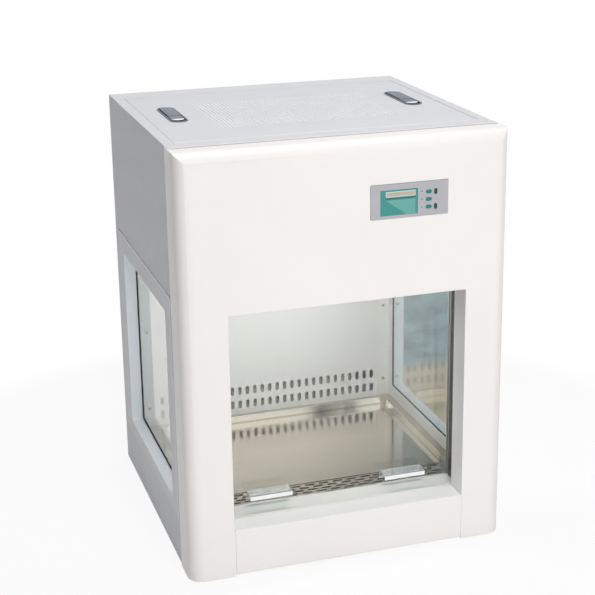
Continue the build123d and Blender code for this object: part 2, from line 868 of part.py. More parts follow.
with BuildPart() as impeller:
    with BuildSketch(Plane.XY.offset(back_plate_z)):
        for blade in range(blade_count):
            turn = radians(360 * blade / blade_count)
            lean = turn + radians(fan_blade_lean)
            root = (blade_inner_radius * cos(turn), fan_y + blade_inner_radius * sin(turn))
            with BuildLine() as chord:
                PolarLine(root, fan_blade_length, direction=(cos(lean), sin(lean)))
            trace(chord.edges(), line_width=impeller_sheet)
    extrude(amount=shroud_top_z - back_plate_z)
    with BuildSketch(fan_plane):
        Polygon(
            (eye_radius, shroud_top_z),
            (impeller_radius + impeller_sheet, shroud_low_z),
            (impeller_radius + impeller_sheet, shroud_top_z + impeller_sheet),
            (0, shroud_top_z + impeller_sheet),
            (0, blade_eye_z),
            (eye_radius, blade_eye_z),
            align=None,
        )
    revolve(axis=fan_axis, mode=Mode.SUBTRACT)
    with BuildSketch(fan_plane):
        Polygon(
            (eye_radius, shroud_top_z),
            (impeller_radius, shroud_low_z),
            (impeller_radius, shroud_low_z - impeller_sheet),
            (eye_radius, shroud_top_z - impeller_sheet),
            align=None,
        )
        Polygon(
            (0, back_plate_z),
            (impeller_radius, back_plate_z),
            (impeller_radius, back_plate_z + impeller_sheet),
            (hub_radius, back_plate_z + impeller_sheet),
            (hub_radius, back_plate_z + hub_length),
            (0, back_plate_z + hub_length),
            align=None,
        )
    revolve(axis=fan_axis)
    with BuildSketch(Plane.XY.offset(back_plate_z)):
        with Locations((0, fan_y)):
            Circle(shaft_radius + shaft_clearance)
    extrude(amount=hub_length, mode=Mode.SUBTRACT)
impeller.part.label = "impeller"
export_step(impeller.part, "parts/impeller.step")

# Fan motor with its shaft
motor_top_z = back_plate_z - motor_gap
motor_low_z = motor_top_z - motor_length

with BuildPart() as fan_motor:
    with BuildSketch(Plane.XY.offset(motor_low_z)):
        with Locations((0, fan_y)):
            Circle(motor_radius)
    extrude(amount=motor_length)
    with BuildSketch(Plane.XY.offset(motor_top_z)):
        with Locations((0, fan_y)):
            Circle(shaft_radius)
    extrude(amount=motor_gap + hub_length)
fan_motor.part.label = "fan_motor"
export_step(fan_motor.part, "parts/fan_motor.step")

# Motor bracket: a cross plate with four legs up to the deck
bracket_low_z = motor_low_z - bracket_sheet
arm_section = [
    (0, bracket_low_z + bracket_sheet / 2),
    (bracket_leg_radius - bracket_sheet / 2, bracket_low_z + bracket_sheet / 2),
    (bracket_leg_radius - bracket_sheet / 2, deck_height - bracket_sheet / 2),
    (bracket_leg_radius + bracket_foot, deck_height - bracket_sheet / 2),
]

with BuildPart() as bracket_leg:
    with BuildSketch(Plane.XZ):
        fold(arm_section, bracket_sheet)
    extrude(amount=bracket_arm / 2, both=True)

with BuildPart() as motor_bracket:
    with Locations((0, fan_y, 0)):
        with PolarLocations(0, bracket_legs):
            add(bracket_leg.part)
motor_bracket.part.label = "motor_bracket"
export_step(motor_bracket.part, "parts/motor_bracket.step")

# Lamps under the front of the ceiling, in one fitting
lamp_length = 2 * (chamber_x - lamp_end_gap)
lamp_z = ceiling_height - diffuser_sheet - lamp_drop
fitting_front_y = ceiling_front_y + lamp_setback
fitting_y = fitting_front_y + fitting_depth / 2
fitting_z = ceiling_height - diffuser_sheet
holder_x = lamp_length / 2 + holder_length

with BuildPart() as lamp_fitting:
    with BuildSketch(Plane.YZ):
        with Locations((fitting_y, fitting_z - fitting_height / 2)):
            channel = Rectangle(fitting_depth, fitting_height)
        chamfer(channel.vertices().group_by(Axis.Y)[0], fitting_chamfer)
    extrude(amount=holder_x, both=True)
    with BuildSketch(Plane.YZ.offset(lamp_length / 2)):
        with Locations((fitting_y, (fitting_z + lamp_z - holder_drop) / 2)):
            Rectangle(fitting_depth, fitting_z - lamp_z + holder_drop)
    extrude(amount=holder_length)
    mirror(about=Plane.YZ)
lamp_fitting.part.label = "lamp_fitting"
export_step(lamp_fitting.part, "parts/lamp_fitting.step")

with BuildPart() as led_tube:
    with BuildSketch(Plane.YZ):
        with Locations((fitting_y - lamp_spacing / 2, lamp_z)):
            Circle(lamp_radius)
    extrude(amount=lamp_length / 2, both=True)
led_tube.part.label = "led_tube"
export_step(led_tube.part, "parts/led_tube.step")

with BuildPart() as uv_tube:
    with BuildSketch(Plane.YZ):
        with Locations((fitting_y + lamp_spacing / 2, lamp_z)):
            Circle(lamp_radius)
    extrude(amount=lamp_length / 2, both=True)
uv_tube.part.label = "uv_tube"
export_step(uv_tube.part, "parts/uv_tube.step")

# Top frame: rails and rims round the cover, folded down to a ledge that it rests on
top_front_y = front_y + moulding_top_depth
cover_front_y = front_y + rail_front_setback
cover_mid_y = cover_front_y + cover_length / 2
cover_x = side_x - cover_side_rim
frame_mid_y = (top_front_y + rail_gap + rear_y) / 2
frame_length = rear_y - top_front_y - rail_gap
well_width = 2 * (cover_x + cover_sheet)
well_length = cover_length + 2 * cover_sheet

with BuildPart() as top_frame:
    with BuildSketch(Plane.XY.offset(panel_top_z)):
        with Locations((0, frame_mid_y)):
            Rectangle(2 * (side_x - fit_gap), frame_length)
    extrude(amount=top_sheet)
    fillet(edges().group_by(Axis.Z)[-1].group_by(Axis.Y)[1:], top_edge)
    with BuildSketch(Plane.XY.offset(well_low_z)):
        with Locations((0, cover_mid_y)):
            Rectangle(well_width, well_length)
    extrude(amount=panel_top_z - well_low_z)
    with BuildSketch(Plane.XY.offset(ledge_z)):
        with Locations((0, cover_mid_y)):
            Rectangle(2 * cover_x, cover_length)
    extrude(amount=cover_skirt, mode=Mode.SUBTRACT)
    with BuildSketch(Plane.XY.offset(well_low_z)):
        with Locations((0, cover_mid_y)):
            Rectangle(2 * (cover_x - cover_ledge), cover_length - 2 * cover_ledge)
    extrude(amount=cover_skirt, mode=Mode.SUBTRACT)
top_frame.part.label = "top_frame"
export_step(top_frame.part, "parts/top_frame.step")

# Lift-off cover: a shallow pan turned over, with the air intake slots and two handle slots
intake_y = front_y + intake_setback
pull_x = cover_x - pull_inset
pull_y = front_y + pull_setback
pull_hole_length = pull_length - 2 * pull_bezel
pull_hole_width = pull_width - 2 * pull_bezel
cover_top_z = body_height
skirt_low_z = ledge_z + fit_gap

with BuildPart() as top_cover:
    with BuildSketch(Plane.XY.offset(skirt_low_z)):
        with Locations((0, cover_mid_y)):
            RectangleRounded(2 * (cover_x - fit_gap), cover_length - 2 * fit_gap, cover_edge)
    extrude(amount=cover_top_z - skirt_low_z)
    fillet(edges().group_by(Axis.Z)[-1], cover_edge)
    with BuildSketch(Plane.XY.offset(skirt_low_z)):
        with Locations((0, cover_mid_y)):
            Rectangle(
                2 * (cover_x - fit_gap - cover_sheet),
                cover_length - 2 * (fit_gap + cover_sheet),
            )
    extrude(amount=cover_top_z - cover_sheet - skirt_low_z, mode=Mode.SUBTRACT)
    with BuildSketch(Plane.XY.offset(cover_top_z)):
        with Locations((0, intake_y)):
            with GridLocations(intake_pitch_x, intake_pitch_y, intake_columns, intake_rows):
                Rectangle(intake_slot_length, intake_slot_width)
        with Locations((-pull_x, pull_y), (pull_x, pull_y)):
            SlotOverall(pull_hole_length + 2 * fit_gap, pull_hole_width + 2 * fit_gap, rotation=90)
    extrude(amount=-cover_sheet, mode=Mode.SUBTRACT)
top_cover.part.label = "top_cover"
export_step(top_cover.part, "parts/top_cover.step")

# Prefilter under the cover's intake
prefilter_width = (intake_columns - 1) * intake_pitch_x + intake_slot_length + 2 * prefilter_margin
prefilter_length = (intake_rows - 1) * intake_pitch_y + intake_slot_width + 2 * prefilter_margin
prefilter_top_z = cover_top_z - cover_sheet
prefilter_low_z = prefilter_top_z - prefilter_height
pad_size = (prefilter_width - 2 * prefilter_wall, prefilter_length - 2 * prefilter_wall)

with BuildPart() as prefilter_frame:
    with BuildSketch(Plane.XY.offset(prefilter_low_z)):
        with Locations((0, intake_y)):
            Rectangle(prefilter_width, prefilter_length)
    extrude(amount=prefilter_height)
    with BuildSketch(Plane.XY.offset(prefilter_low_z + prefilter_wall)):
        with Locations((0, intake_y)):
            Rectangle(*pad_size)
    extrude(amount=prefilter_height, mode=Mode.SUBTRACT)
    with BuildSketch(Plane.XY.offset(prefilter_low_z)):
        with Locations((0, intake_y)):
            Rectangle(pad_size[0] - 2 * prefilter_lip, pad_size[1] - 2 * prefilter_lip)
    extrude(amount=prefilter_wall, mode=Mode.SUBTRACT)
prefilter_frame.part.label = "prefilter_frame"
export_step(prefilter_frame.part, "parts/prefilter_frame.step")

with BuildPart() as prefilter_media:
    with BuildSketch(Plane.XY.offset(prefilter_low_z + prefilter_wall)):
        with Locations((0, intake_y)):
            Rectangle(*pad_size)
    extrude(amount=prefilter_height - prefilter_wall)
prefilter_media.part.label = "prefilter_media"
export_step(prefilter_media.part, "parts/prefilter_media.step")

# Flush pull handles: an oval pocket let into the cover, with a lever that flips up
bezel_top_z = cover_top_z + pull_bezel_height
pocket_low_z = cover_top_z - pull_depth
pocket_length = pull_hole_length - 2 * pull_wall
pocket_width = pull_hole_width - 2 * pull_wall
pin_y = pull_y + pocket_length / 2 - pin_from_end
lever_top_z = bezel_top_z + lever_rise
lever_low_z = lever_top_z - lever_thickness
pin_z = lever_low_z

with BuildPart() as handle_housing:
    with BuildSketch(Plane.XY.offset(cover_top_z)):
        with Locations((pull_x, pull_y)):
            SlotOverall(pull_length, pull_width, rotation=90)
    extrude(amount=pull_bezel_height)
    chamfer(faces().sort_by(Axis.Z)[-1].edges(), pull_bezel_height / 2)
    with BuildSketch(Plane.XY.offset(cover_top_z)):
        with Locations((pull_x, pull_y)):
            SlotOverall(pull_hole_length, pull_hole_width, rotation=90)
    extrude(amount=-pull_depth)
    with BuildSketch(Plane.XY.offset(bezel_top_z)):
        with Locations((pull_x, pull_y)):
            SlotOverall(pocket_length, pocket_width, rotation=90)
    extrude(amount=pocket_low_z + pull_wall - bezel_top_z, mode=Mode.SUBTRACT)
save_pair(handle_housing.part, "handle_housing")

pin_length = pocket_width

with BuildPart() as handle_pin:
    with BuildSketch(Plane.YZ.offset(pull_x - pin_length / 2)):
        with Locations((pin_y, pin_z)):
            Circle(pin_radius)
    extrude(amount=pin_length)
save_pair(handle_pin.part, "handle_pin")

lever_front_y = pull_y - pocket_length / 2 + pull_finger
lever_width = pocket_width - 2 * lever_clearance

with BuildPart() as handle_lever:
    with BuildSketch(Plane.YZ.offset(pull_x - lever_width / 2)):
        with BuildLine():
            Polyline(
                (pin_y, lever_top_z),
                (lever_front_y + lever_step, lever_top_z),
                (lever_front_y + lever_step - lever_rise, lever_top_z - lever_rise),
                (lever_front_y, lever_top_z - lever_rise),
                (lever_front_y, lever_low_z - lever_lip),
                (lever_front_y + lever_lip, lever_low_z - lever_lip),
                (lever_front_y + 2 * lever_lip, lever_low_z),
                (pin_y, lever_low_z),
                close=True,
            )
        make_face()
        with Locations((pin_y, pin_z)):
            Circle(pin_boss)
            Circle(pin_radius + pin_clearance, mode=Mode.SUBTRACT)
    extrude(amount=lever_width)
save_pair(handle_lever.part, "handle_lever")

# Display panel: fascia, window, keys and the board behind them
fascia_front_y = front_y - fascia_proud
fascia_rear_y = fascia_front_y + fascia_thickness
fascia_left_x = fascia_centre_x - fascia_width / 2
fascia_top_z = fascia_centre_z + fascia_height / 2
display_x = fascia_left_x + display_left + display_width / 2
display_z = fascia_top_z - display_top - display_height / 2
round_key_hole = (round_key_width + 2 * key_clearance, round_key_height + 2 * key_clearance)
tall_key_hole = (tall_key_width + 2 * key_clearance, tall_key_height + 2 * key_clearance)
board_front_y = fascia_rear_y + board_gap
standoff_span = (fascia_width - 2 * board_margin, fascia_height - 2 * board_margin)
round_keys = [
    (fascia_left_x + round_key_left + round_key_width / 2, fascia_top_z - top - round_key_height / 2)
    for top in round_key_tops
]
tall_keys = [
    (fascia_left_x + tall_key_left + tall_key_width / 2, fascia_top_z - top - tall_key_height / 2)
    for top in tall_key_tops
]

with BuildPart() as display_fascia:
    with BuildSketch(Plane.XZ.offset(-fascia_front_y)):
        with Locations((fascia_centre_x, fascia_centre_z)):
            RectangleRounded(fascia_width, fascia_height, fit_gap)
        with Locations((display_x, display_z)):
            Rectangle(display_width, display_height, mode=Mode.SUBTRACT)
        with Locations(*round_keys):
            Polygon(*slot_outline(*round_key_hole), mode=Mode.SUBTRACT)
        with Locations(*tall_keys):
            Polygon(*slot_outline(*tall_key_hole), mode=Mode.SUBTRACT)
    extrude(amount=-fascia_thickness)
    with BuildSketch(Plane.XZ.offset(-fascia_rear_y)):
        with Locations((fascia_centre_x, fascia_centre_z)):
            with GridLocations(*standoff_span, 2, 2):
                Rectangle(standoff_width, standoff_width)
    extrude(amount=-board_gap)
display_fascia.part.label = "display_fascia"
export_step(display_fascia.part, "parts/display_fascia.step")

with BuildPart() as display_window:
    with BuildSketch(Plane.XZ.offset(-fascia_front_y - display_sink)):
        with Locations((display_x, display_z)):
            Rectangle(display_width, display_height)
    extrude(amount=-display_thickness)
display_window.part.label = "display_window"
export_step(display_window.part, "parts/display_window.step")

with BuildPart() as control_board:
    with BuildSketch(Plane.XZ.offset(-board_front_y)):
        with Locations((fascia_centre_x, fascia_centre_z)):
            Rectangle(fascia_width - board_margin, fascia_height - board_margin)
    extrude(amount=-board_thickness)
control_board.part.label = "control_board"
export_step(control_board.part, "parts/control_board.step")


def make_key(centre, width, height, name):
    """Writes one key: a cap through the fascia with a rim that stops behind it."""
    key_front_y = fascia_front_y - key_proud
    with BuildPart() as key:
        with BuildSketch(Plane.XZ.offset(-key_front_y)):
            with Locations(centre):
                Polygon(*slot_outline(width, height))
        extrude(amount=-key_proud - fascia_thickness - key_stem)
        with BuildSketch(Plane.XZ.offset(-fascia_rear_y - key_clearance)):
            with Locations(centre):
                Rectangle(width + 2 * key_rim, height + 2 * key_rim)
        extrude(amount=-key_rim_thickness)
    key.part.label = name
    export_step(key.part, f"parts/{name}.step")


make_key(round_keys[0], round_key_width, round_key_height, "power_key")
make_key(round_keys[1], round_key_width, round_key_height, "fan_key")
make_key(round_keys[2], round_key_width, round_key_height, "lamp_key")
make_key(tall_keys[0], tall_key_width, tall_key_height, "up_key")
make_key(tall_keys[1], tall_key_width, tall_key_height, "down_key")

# Outer back panel, screwed over the rear folds of the side panels
back_low_z = foot_height + rear_margin
back_high_z = panel_top_z - rear_margin
inlet_centre_x = -side_x + inlet_side_inset
inlet_hole = (inlet_width + 2 * fit_gap, inlet_height + 2 * fit_gap)

with BuildPart() as back_outer_panel:
    block((-side_x + rear_margin, side_x - rear_margin), (rear_flange_y, rear_y), (back_low_z, back_high_z))
    with BuildSketch(Plane.XZ.offset(-rear_y)):
        with Locations((inlet_centre_x, inlet_centre_z)):
            Rectangle(*inlet_hole)
    extrude(amount=panel_sheet, mode=Mode.SUBTRACT)
back_outer_panel.part.label = "back_outer_panel"
export_step(back_outer_panel.part, "parts/back_outer_panel.step")

# Mains inlet: socket with three contacts, and a fuse drawer under it
inlet_rear_y = rear_y + inlet_flange_thickness
socket_z = inlet_centre_z + (inlet_height - socket_height) / 2 - blade_wall
drawer_z = inlet_centre_z - inlet_height / 2 + drawer_height / 2 + blade_wall / 2

with BuildPart() as power_inlet:
    with BuildSketch(Plane.XZ.offset(-rear_y)):
        with Locations((inlet_centre_x, inlet_centre_z)):
            RectangleRounded(
                inlet_width + 2 * inlet_flange,
                inlet_height + inlet_flange / 2,
                inlet_flange / 2,
            )
    extrude(amount=-inlet_flange_thickness)
    with BuildSketch(Plane.XZ.offset(-rear_y)):
        with Locations((inlet_centre_x, inlet_centre_z)):
            Rectangle(inlet_width, inlet_height)
    extrude(amount=inlet_depth)
    with BuildSketch(Plane.XZ.offset(-inlet_rear_y)):
        with Locations((inlet_centre_x, socket_z)):
            mouth = Rectangle(socket_width, socket_height)
        chamfer(mouth.vertices().group_by(Axis.Y)[-1], socket_chamfer)
    extrude(amount=socket_depth, mode=Mode.SUBTRACT)
    with BuildSketch(Plane.XZ.offset(-inlet_rear_y + socket_depth)):
        with Locations(
            (inlet_centre_x - blade_spread, socket_z - blade_wall / 2),
            (inlet_centre_x, socket_z + blade_wall / 2),
            (inlet_centre_x + blade_spread, socket_z - blade_wall / 2),
        ):
            Rectangle(blade_width, blade_height)
    extrude(amount=-blade_length)
    with BuildSketch(Plane.XZ.offset(-inlet_rear_y)):
        with Locations((inlet_centre_x, drawer_z)):
            Rectangle(socket_width, drawer_height)
    extrude(amount=-drawer_proud)
power_inlet.part.label = "power_inlet"
export_step(power_inlet.part, "parts/power_inlet.step")

# Screws along both edges of the outer back panel
rear_screw_x = side_x - (panel_fold + rear_margin) / 2
rear_screw_pitch = (back_high_z - back_low_z - base_fold) / (rear_screw_rows - 1)

with BuildPart() as rear_screws:
    with BuildSketch(Plane.XZ.offset(-rear_y)):
        with Locations((0, (back_low_z + back_high_z) / 2)):
            with GridLocations(2 * rear_screw_x, rear_screw_pitch, 2, rear_screw_rows):
                RegularPolygon(screw_head_radius, screw_head_sides)
    extrude(amount=-screw_head_height)
rear_screws.part.label = "rear_screws"
export_step(rear_screws.part, "parts/rear_screws.step")

# Screws through the rear folds of the chamber liners
liner_screw_x = chamber_x - liner_rear_fold / 2
liner_screw_high = ceiling_height - liner_screw_drop
liner_screw_pitch = (liner_screw_high - liner_screw_low) / (liner_screw_rows - 1)

with BuildPart() as liner_screws:
    with BuildSketch(Plane.XZ.offset(-chamber_rear_y)):
        with Locations((0, (liner_screw_low + liner_screw_high) / 2)):
            with GridLocations(2 * liner_screw_x, liner_screw_pitch, 2, liner_screw_rows):
                RegularPolygon(screw_head_radius, screw_head_sides)
    extrude(amount=screw_head_height)
liner_screws.part.label = "liner_screws"
export_step(liner_screws.part, "parts/liner_screws.step")
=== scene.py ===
import logging
import math
from contextlib import contextmanager
from dataclasses import dataclass
from enum import Enum
from typing import Any, Callable, Iterator, Sequence

import bmesh
import bpy
from mathutils import Matrix, Vector


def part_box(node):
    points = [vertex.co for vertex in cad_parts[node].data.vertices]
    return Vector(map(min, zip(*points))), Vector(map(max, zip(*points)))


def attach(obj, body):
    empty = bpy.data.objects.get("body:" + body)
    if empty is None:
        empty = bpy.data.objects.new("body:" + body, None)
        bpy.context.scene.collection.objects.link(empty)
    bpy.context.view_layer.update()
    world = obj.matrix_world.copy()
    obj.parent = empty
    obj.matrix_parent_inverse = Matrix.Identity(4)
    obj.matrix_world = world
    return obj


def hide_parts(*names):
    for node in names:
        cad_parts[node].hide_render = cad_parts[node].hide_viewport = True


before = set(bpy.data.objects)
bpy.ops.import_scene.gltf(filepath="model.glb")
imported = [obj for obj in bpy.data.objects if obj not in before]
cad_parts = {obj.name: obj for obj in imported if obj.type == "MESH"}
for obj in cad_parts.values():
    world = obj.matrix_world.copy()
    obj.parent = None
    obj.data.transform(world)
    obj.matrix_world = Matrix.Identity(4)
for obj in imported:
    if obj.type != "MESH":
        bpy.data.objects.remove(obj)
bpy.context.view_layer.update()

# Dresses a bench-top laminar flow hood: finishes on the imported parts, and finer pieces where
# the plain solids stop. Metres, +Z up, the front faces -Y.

log = logging.getLogger("flow_hood")

Colour = tuple[float, float, float]
Point = tuple[float, float, float]
Span = tuple[float, float]
Test = Callable[[Vector, Vector], bool]

MM = 0.001
HAIR = 0.01 * MM  # closer than this, two places are the same
SQUARE_ON = 0.9  # how far a normal goes along an axis for its face to look that way
LEVEL_ANGLE = math.radians(0.4)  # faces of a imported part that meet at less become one
CORNER_ANGLE = math.radians(32.0)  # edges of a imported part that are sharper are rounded
EDGE_ANGLE = math.radians(40.0)  # edges of a finer piece that are sharper are rounded

WHITE = (1.0, 1.0, 1.0, 1.0)
UPRIGHT = Vector((0.0, 0.0, 1.0))
ACROSS = Vector((1.0, 0.0, 0.0))
BACKWARDS = Vector((0.0, 1.0, 0.0))


class Kind(Enum):
    """What an edit-mode selection is made of."""

    VERT = "VERT"
    EDGE = "EDGE"
    FACE = "FACE"


class Side(Enum):
    """A side of the hood, with the sign of its x."""

    LEFT = -1
    RIGHT = 1

    @property
    def word(self) -> str:
        """The side's name as it stands in the parts' names."""
        return self.name.lower()


class Grain(Enum):
    """The direction that brushed metal was brushed in, as scales along x, y and z."""

    ALONG_X = (1.0, 90.0, 90.0)
    ALONG_Y = (90.0, 1.0, 90.0)
    ALONG_Z = (90.0, 90.0, 1.0)

    @property
    def across(self) -> Point:
        """The direction over the lines, in which reflections are drawn out."""
        return (0.0, 1.0, 0.0) if self is Grain.ALONG_X else (1.0, 0.0, 0.0)


# Finishes


class Wiring:
    """A material or a world whose nodes are being wired."""

    def __init__(self, name: str, world: bool = False) -> None:
        """Starts an empty material or world.

        Args:
            name: Its name.
            world: Whether it is the room's light, not a finish.
        """
        self.output = "OutputWorld" if world else "OutputMaterial"
        self.owner = bpy.data.worlds.new(name) if world else bpy.data.materials.new(name)
        self.owner.use_nodes = True
        self.tree = self.owner.node_tree
        self.tree.nodes.clear()

    def node(self, kind: str, inputs: dict[str | int, Any] | None = None, **settings: Any) -> Any:
        """Adds a node.

        Args:
            kind: The node's type, without its ShaderNode prefix.
            inputs: Values or sockets for its inputs, by name or number.
            **settings: The node's own properties.

        Returns:
            The node.
        """
        made = self.tree.nodes.new(f"ShaderNode{kind}")
        for key, value in settings.items():
            setattr(made, key, value)
        for key, value in (inputs or {}).items():
            if isinstance(value, bpy.types.NodeSocket):
                self.tree.links.new(value, made.inputs[key])
            else:
                made.inputs[key].default_value = value
        return made

    def place(self, scale: Point = (1.0, 1.0, 1.0)) -> Any:
        """The piece's own coordinates in metres, drawn together by the factors given.

        Args:
            scale: Factors along x, y and z.

        Returns:
            The vector socket.
        """
        inputs = {"Vector": self.node("TexCoord").outputs["Object"], "Scale": scale}
        return self.node("Mapping", inputs).outputs[0]

    def noise(
        self, scale: float, detail: float = 2.0, vector: Any = None, rough: float = 0.5
    ) -> Any:
        """A noise pattern.

        Args:
            scale: Cells in a metre.
            detail: Octaves.
            vector: Coordinates, or none for the piece's own.
            rough: How strong the finer octaves are.

        Returns:
            The factor socket.
        """
        inputs = {"Scale": scale, "Detail": detail, "Roughness": rough}
        return self.node("TexNoise", {"Vector": vector or self.place(), **inputs}).outputs[0]

    def span(
        self, value: Any, low: float, high: float, start: float = 0.35, end: float = 0.65
    ) -> Any:
        """Maps a pattern to a range.

        Args:
            value: The pattern.
            low: What its start becomes.
            high: What its end becomes.
            start: The pattern's value at the low end.
            end: The pattern's value at the high end.

        Returns:
            The mapped socket.
        """
        inputs = {0: value, 1: start, 2: end, 3: low, 4: high}
        return self.node("MapRange", inputs).outputs[0]

    def mottle(self, share: Any, colour: Colour, factor: float) -> Any:
        """Lets a pattern darken a colour a little.

        Args:
            share: The pattern, from 0 to 1.
            colour: The colour where the pattern is 1.
            factor: What the colour is multiplied by where the pattern is 0.

        Returns:
            The colour's socket.
        """
        return self.blend(share, tuple(part * factor for part in colour), colour)

    def blend(self, share: Any, first: Any, second: Any, way: str = "MIX") -> Any:
        """Mixes two colours.

        Args:
            share: The share of the second.
            first: The first colour, or its socket.
            second: The second colour, or its socket.
            way: The kind of mix.

        Returns:
            The colour's socket.
        """
        start, end = (
            (*part, 1.0) if isinstance(part, tuple) else part for part in (first, second)
        )
        inputs = {0: share, 6: start, 7: end}
        return self.node("Mix", inputs, data_type="RGBA", blend_type=way).outputs[2]

    def bump(self, height: Any, strength: float, distance: float, below: Any = None) -> Any:
        """Turns a pattern into relief.

        Args:
            height: The pattern.
            strength: From 0 to 1.
            distance: The relief's depth in metres.
            below: A relief under this one.

        Returns:
            The normal socket.
        """
        inputs = {"Height": height, "Strength": strength, "Distance": distance}
        if below is not None:
            inputs["Normal"] = below
        return self.node("Bump", inputs).outputs[0]

    def shader(self, **inputs: Any) -> Any:
        """The main shader.

        Args:
            **inputs: Its inputs by name, with _ for a space.

        Returns:
            The shader socket.
        """
        named = {key.replace("_", " "): value for key, value in inputs.items()}
        for key, value in named.items():
            if isinstance(value, tuple) and len(value) == 3:
                named[key] = (*value, 1.0)
        return self.node("BsdfPrincipled", named).outputs[0]

    def math(self, operation: str, first: Any, second: Any = 0.0) -> Any:
        """Works on two values.

        Args:
            operation: The kind of sum.
            first: The first value or socket.
            second: The second value or socket.

        Returns:
            The result's socket.
        """
        return self.node("Math", {0: first, 1: second}, operation=operation).outputs[0]

    def seen_directly(self) -> Any:
        """Tells what the lens sees straight, or by way of glass and metal, from the rest.

        Returns:
            A socket that is 1 where it is seen so, and else 0.
        """
        path = self.node("LightPath").outputs
        shiny = self.math("MAXIMUM", path["Is Transmission Ray"], path["Is Glossy Ray"])
        either = self.math("MAXIMUM", path["Is Camera Ray"], shiny)
        fresh = self.math("LESS_THAN", path["Diffuse Depth"], 0.5)
        return self.math("MULTIPLY", either, fresh)

    def close(self, surface: Any) -> Any:
        """Wires the surface to the output.

        Args:
            surface: The shader socket.

        Returns:
            The finished material or world.
        """
        self.node(self.output, {"Surface": surface})
        return self.owner


@dataclass(frozen=True)
class PowderCoat:
    """Sprayed and baked paint: an even colour with a fine orange peel."""

    name: str
    colour: Colour
    roughness: float = 0.38
    peel: float = 0.10
    # colour for faces that don't look sideways: a painted highlight on edges and reveals; None for
    # an even coat
    edges: Colour | None = None

    def make(self) -> bpy.types.Material:
        """Wires the finish, with the faces that don't look sideways in a lighter colour of their
        own: a painted highlight where the light falls on them.

        Returns:
            The material.
        """
        wiring = Wiring(self.name)
        # painted highlight: faces looking up, front or back take the lighter colour
        if self.edges:
            normal = wiring.node("NewGeometry").outputs["True Normal"]
            sideways = wiring.math("ABSOLUTE", wiring.node("SeparateXYZ", {0: normal}).outputs[0])
            painted_light_share = wiring.span(sideways, 1.0, 0.0, 0.8, 0.98)
            colour = wiring.blend(painted_light_share, self.colour, self.edges)
        else:
            clouds = wiring.span(wiring.noise(4.0, 3.0), 0.0, 0.75)
            specks = wiring.span(wiring.noise(1900.0, 1.0), 0.0, 0.25)
            colour = wiring.mottle(wiring.math("ADD", clouds, specks), self.colour, 0.975)
        peel = wiring.bump(wiring.noise(620.0, 1.5), self.peel, 0.0002)
        shine = wiring.span(wiring.noise(35.0, 3.0), self.roughness - 0.03, self.roughness + 0.04)
        return wiring.close(wiring.shader(Base_Color=colour, Roughness=shine, Normal=peel))


@dataclass(frozen=True)
class BrushedMetal:
    """Sheet or extruded metal with the fine lines of its brushing or rolling."""

    name: str
    colour: Colour
    grain: Grain = Grain.ALONG_X
    roughness: float = 0.2
    lines: float = 0.12
    anisotropic: float = 0.3
    # y span over which the colour darkens towards the front: painted shade
    rubbed: Span | None = None
    # height above which the colour turns pale: a painted highlight on a raised lip
    lip: float = 1.0

    def make(self) -> bpy.types.Material:
        """Wires the finish, darker towards the front as painted shade and pale above its raised lip
        as a painted highlight.

        Returns:
            The material.
        """
        wiring = Wiring(self.name)
        along = wiring.place(self.grain.value)
        streaks = wiring.noise(26.0, 4.0, along, 0.65)
        smears = wiring.noise(5.0, 3.0)
        across = wiring.node("CombineXYZ", dict(enumerate(self.grain.across)))
        colour = wiring.mottle(wiring.span(streaks, 0.0, 1.0), self.colour, 0.93)
        # painted shade darker towards the front, then a painted highlight pale above the lip
        if self.rubbed:
            place = wiring.node("SeparateXYZ", {0: wiring.place()})
            front = wiring.span(place.outputs[1], 0.52, 1.0, *self.rubbed)
            shade_tint = wiring.node("CombineXYZ", {0: front, 1: front, 2: front})
            colour = wiring.blend(1.0, colour, shade_tint.outputs[0], "MULTIPLY")
            lip_highlight = wiring.span(place.outputs[2], 0.0, 1.0, self.lip, self.lip + MM)
            colour = wiring.blend(lip_highlight, colour, (0.95, 0.95, 0.94))
        lines = wiring.span(streaks, self.roughness * 0.75, self.roughness * 1.2)
        worn = wiring.math("ADD", lines, wiring.span(smears, -0.03, 0.04))
        bounced = wiring.node("LightPath").outputs["Is Diffuse Ray"]
        softer = wiring.math("MAXIMUM", worn, wiring.span(bounced, 0.0, 0.7, 0.0, 1.0))
        return wiring.close(
            wiring.shader(
                Base_Color=colour,
                Metallic=1.0,
                Roughness=softer,
                Anisotropic=self.anisotropic,
                Tangent=across.outputs[0],
                Normal=wiring.bump(streaks, self.lines, 0.00003),
            )
        )


@dataclass(frozen=True)
class ClearSheet:
    """Glass or clear plastic, which lets the lamps' light through."""

    name: str
    colour: Colour
    index: float = 1.5
    haze: float = 0.0
    clear: float = 1.0
    shadow: Colour = (0.86, 0.90, 0.90)

    def make(self) -> bpy.types.Material:
        """Wires the finish, with a tinted shadow in place of a caustic.

        Returns:
            The material.
        """
        wiring = Wiring(self.name)
        film = wiring.span(wiring.noise(9.0, 4.0), self.haze, self.haze + 0.001)
        solid = wiring.shader(
            Base_Color=self.colour,
            Roughness=film,
            IOR=self.index,
            Transmission_Weight=self.clear,
        )
        through = wiring.node("BsdfTransparent", {"Color": (*self.shadow, 1.0)})
        path = wiring.node("LightPath")
        mixed = wiring.node(
            "MixShader",
            {0: path.outputs["Is Shadow Ray"], 1: solid, 2: through.outputs[0]},
        )
        return wiring.close(mixed.outputs[0])


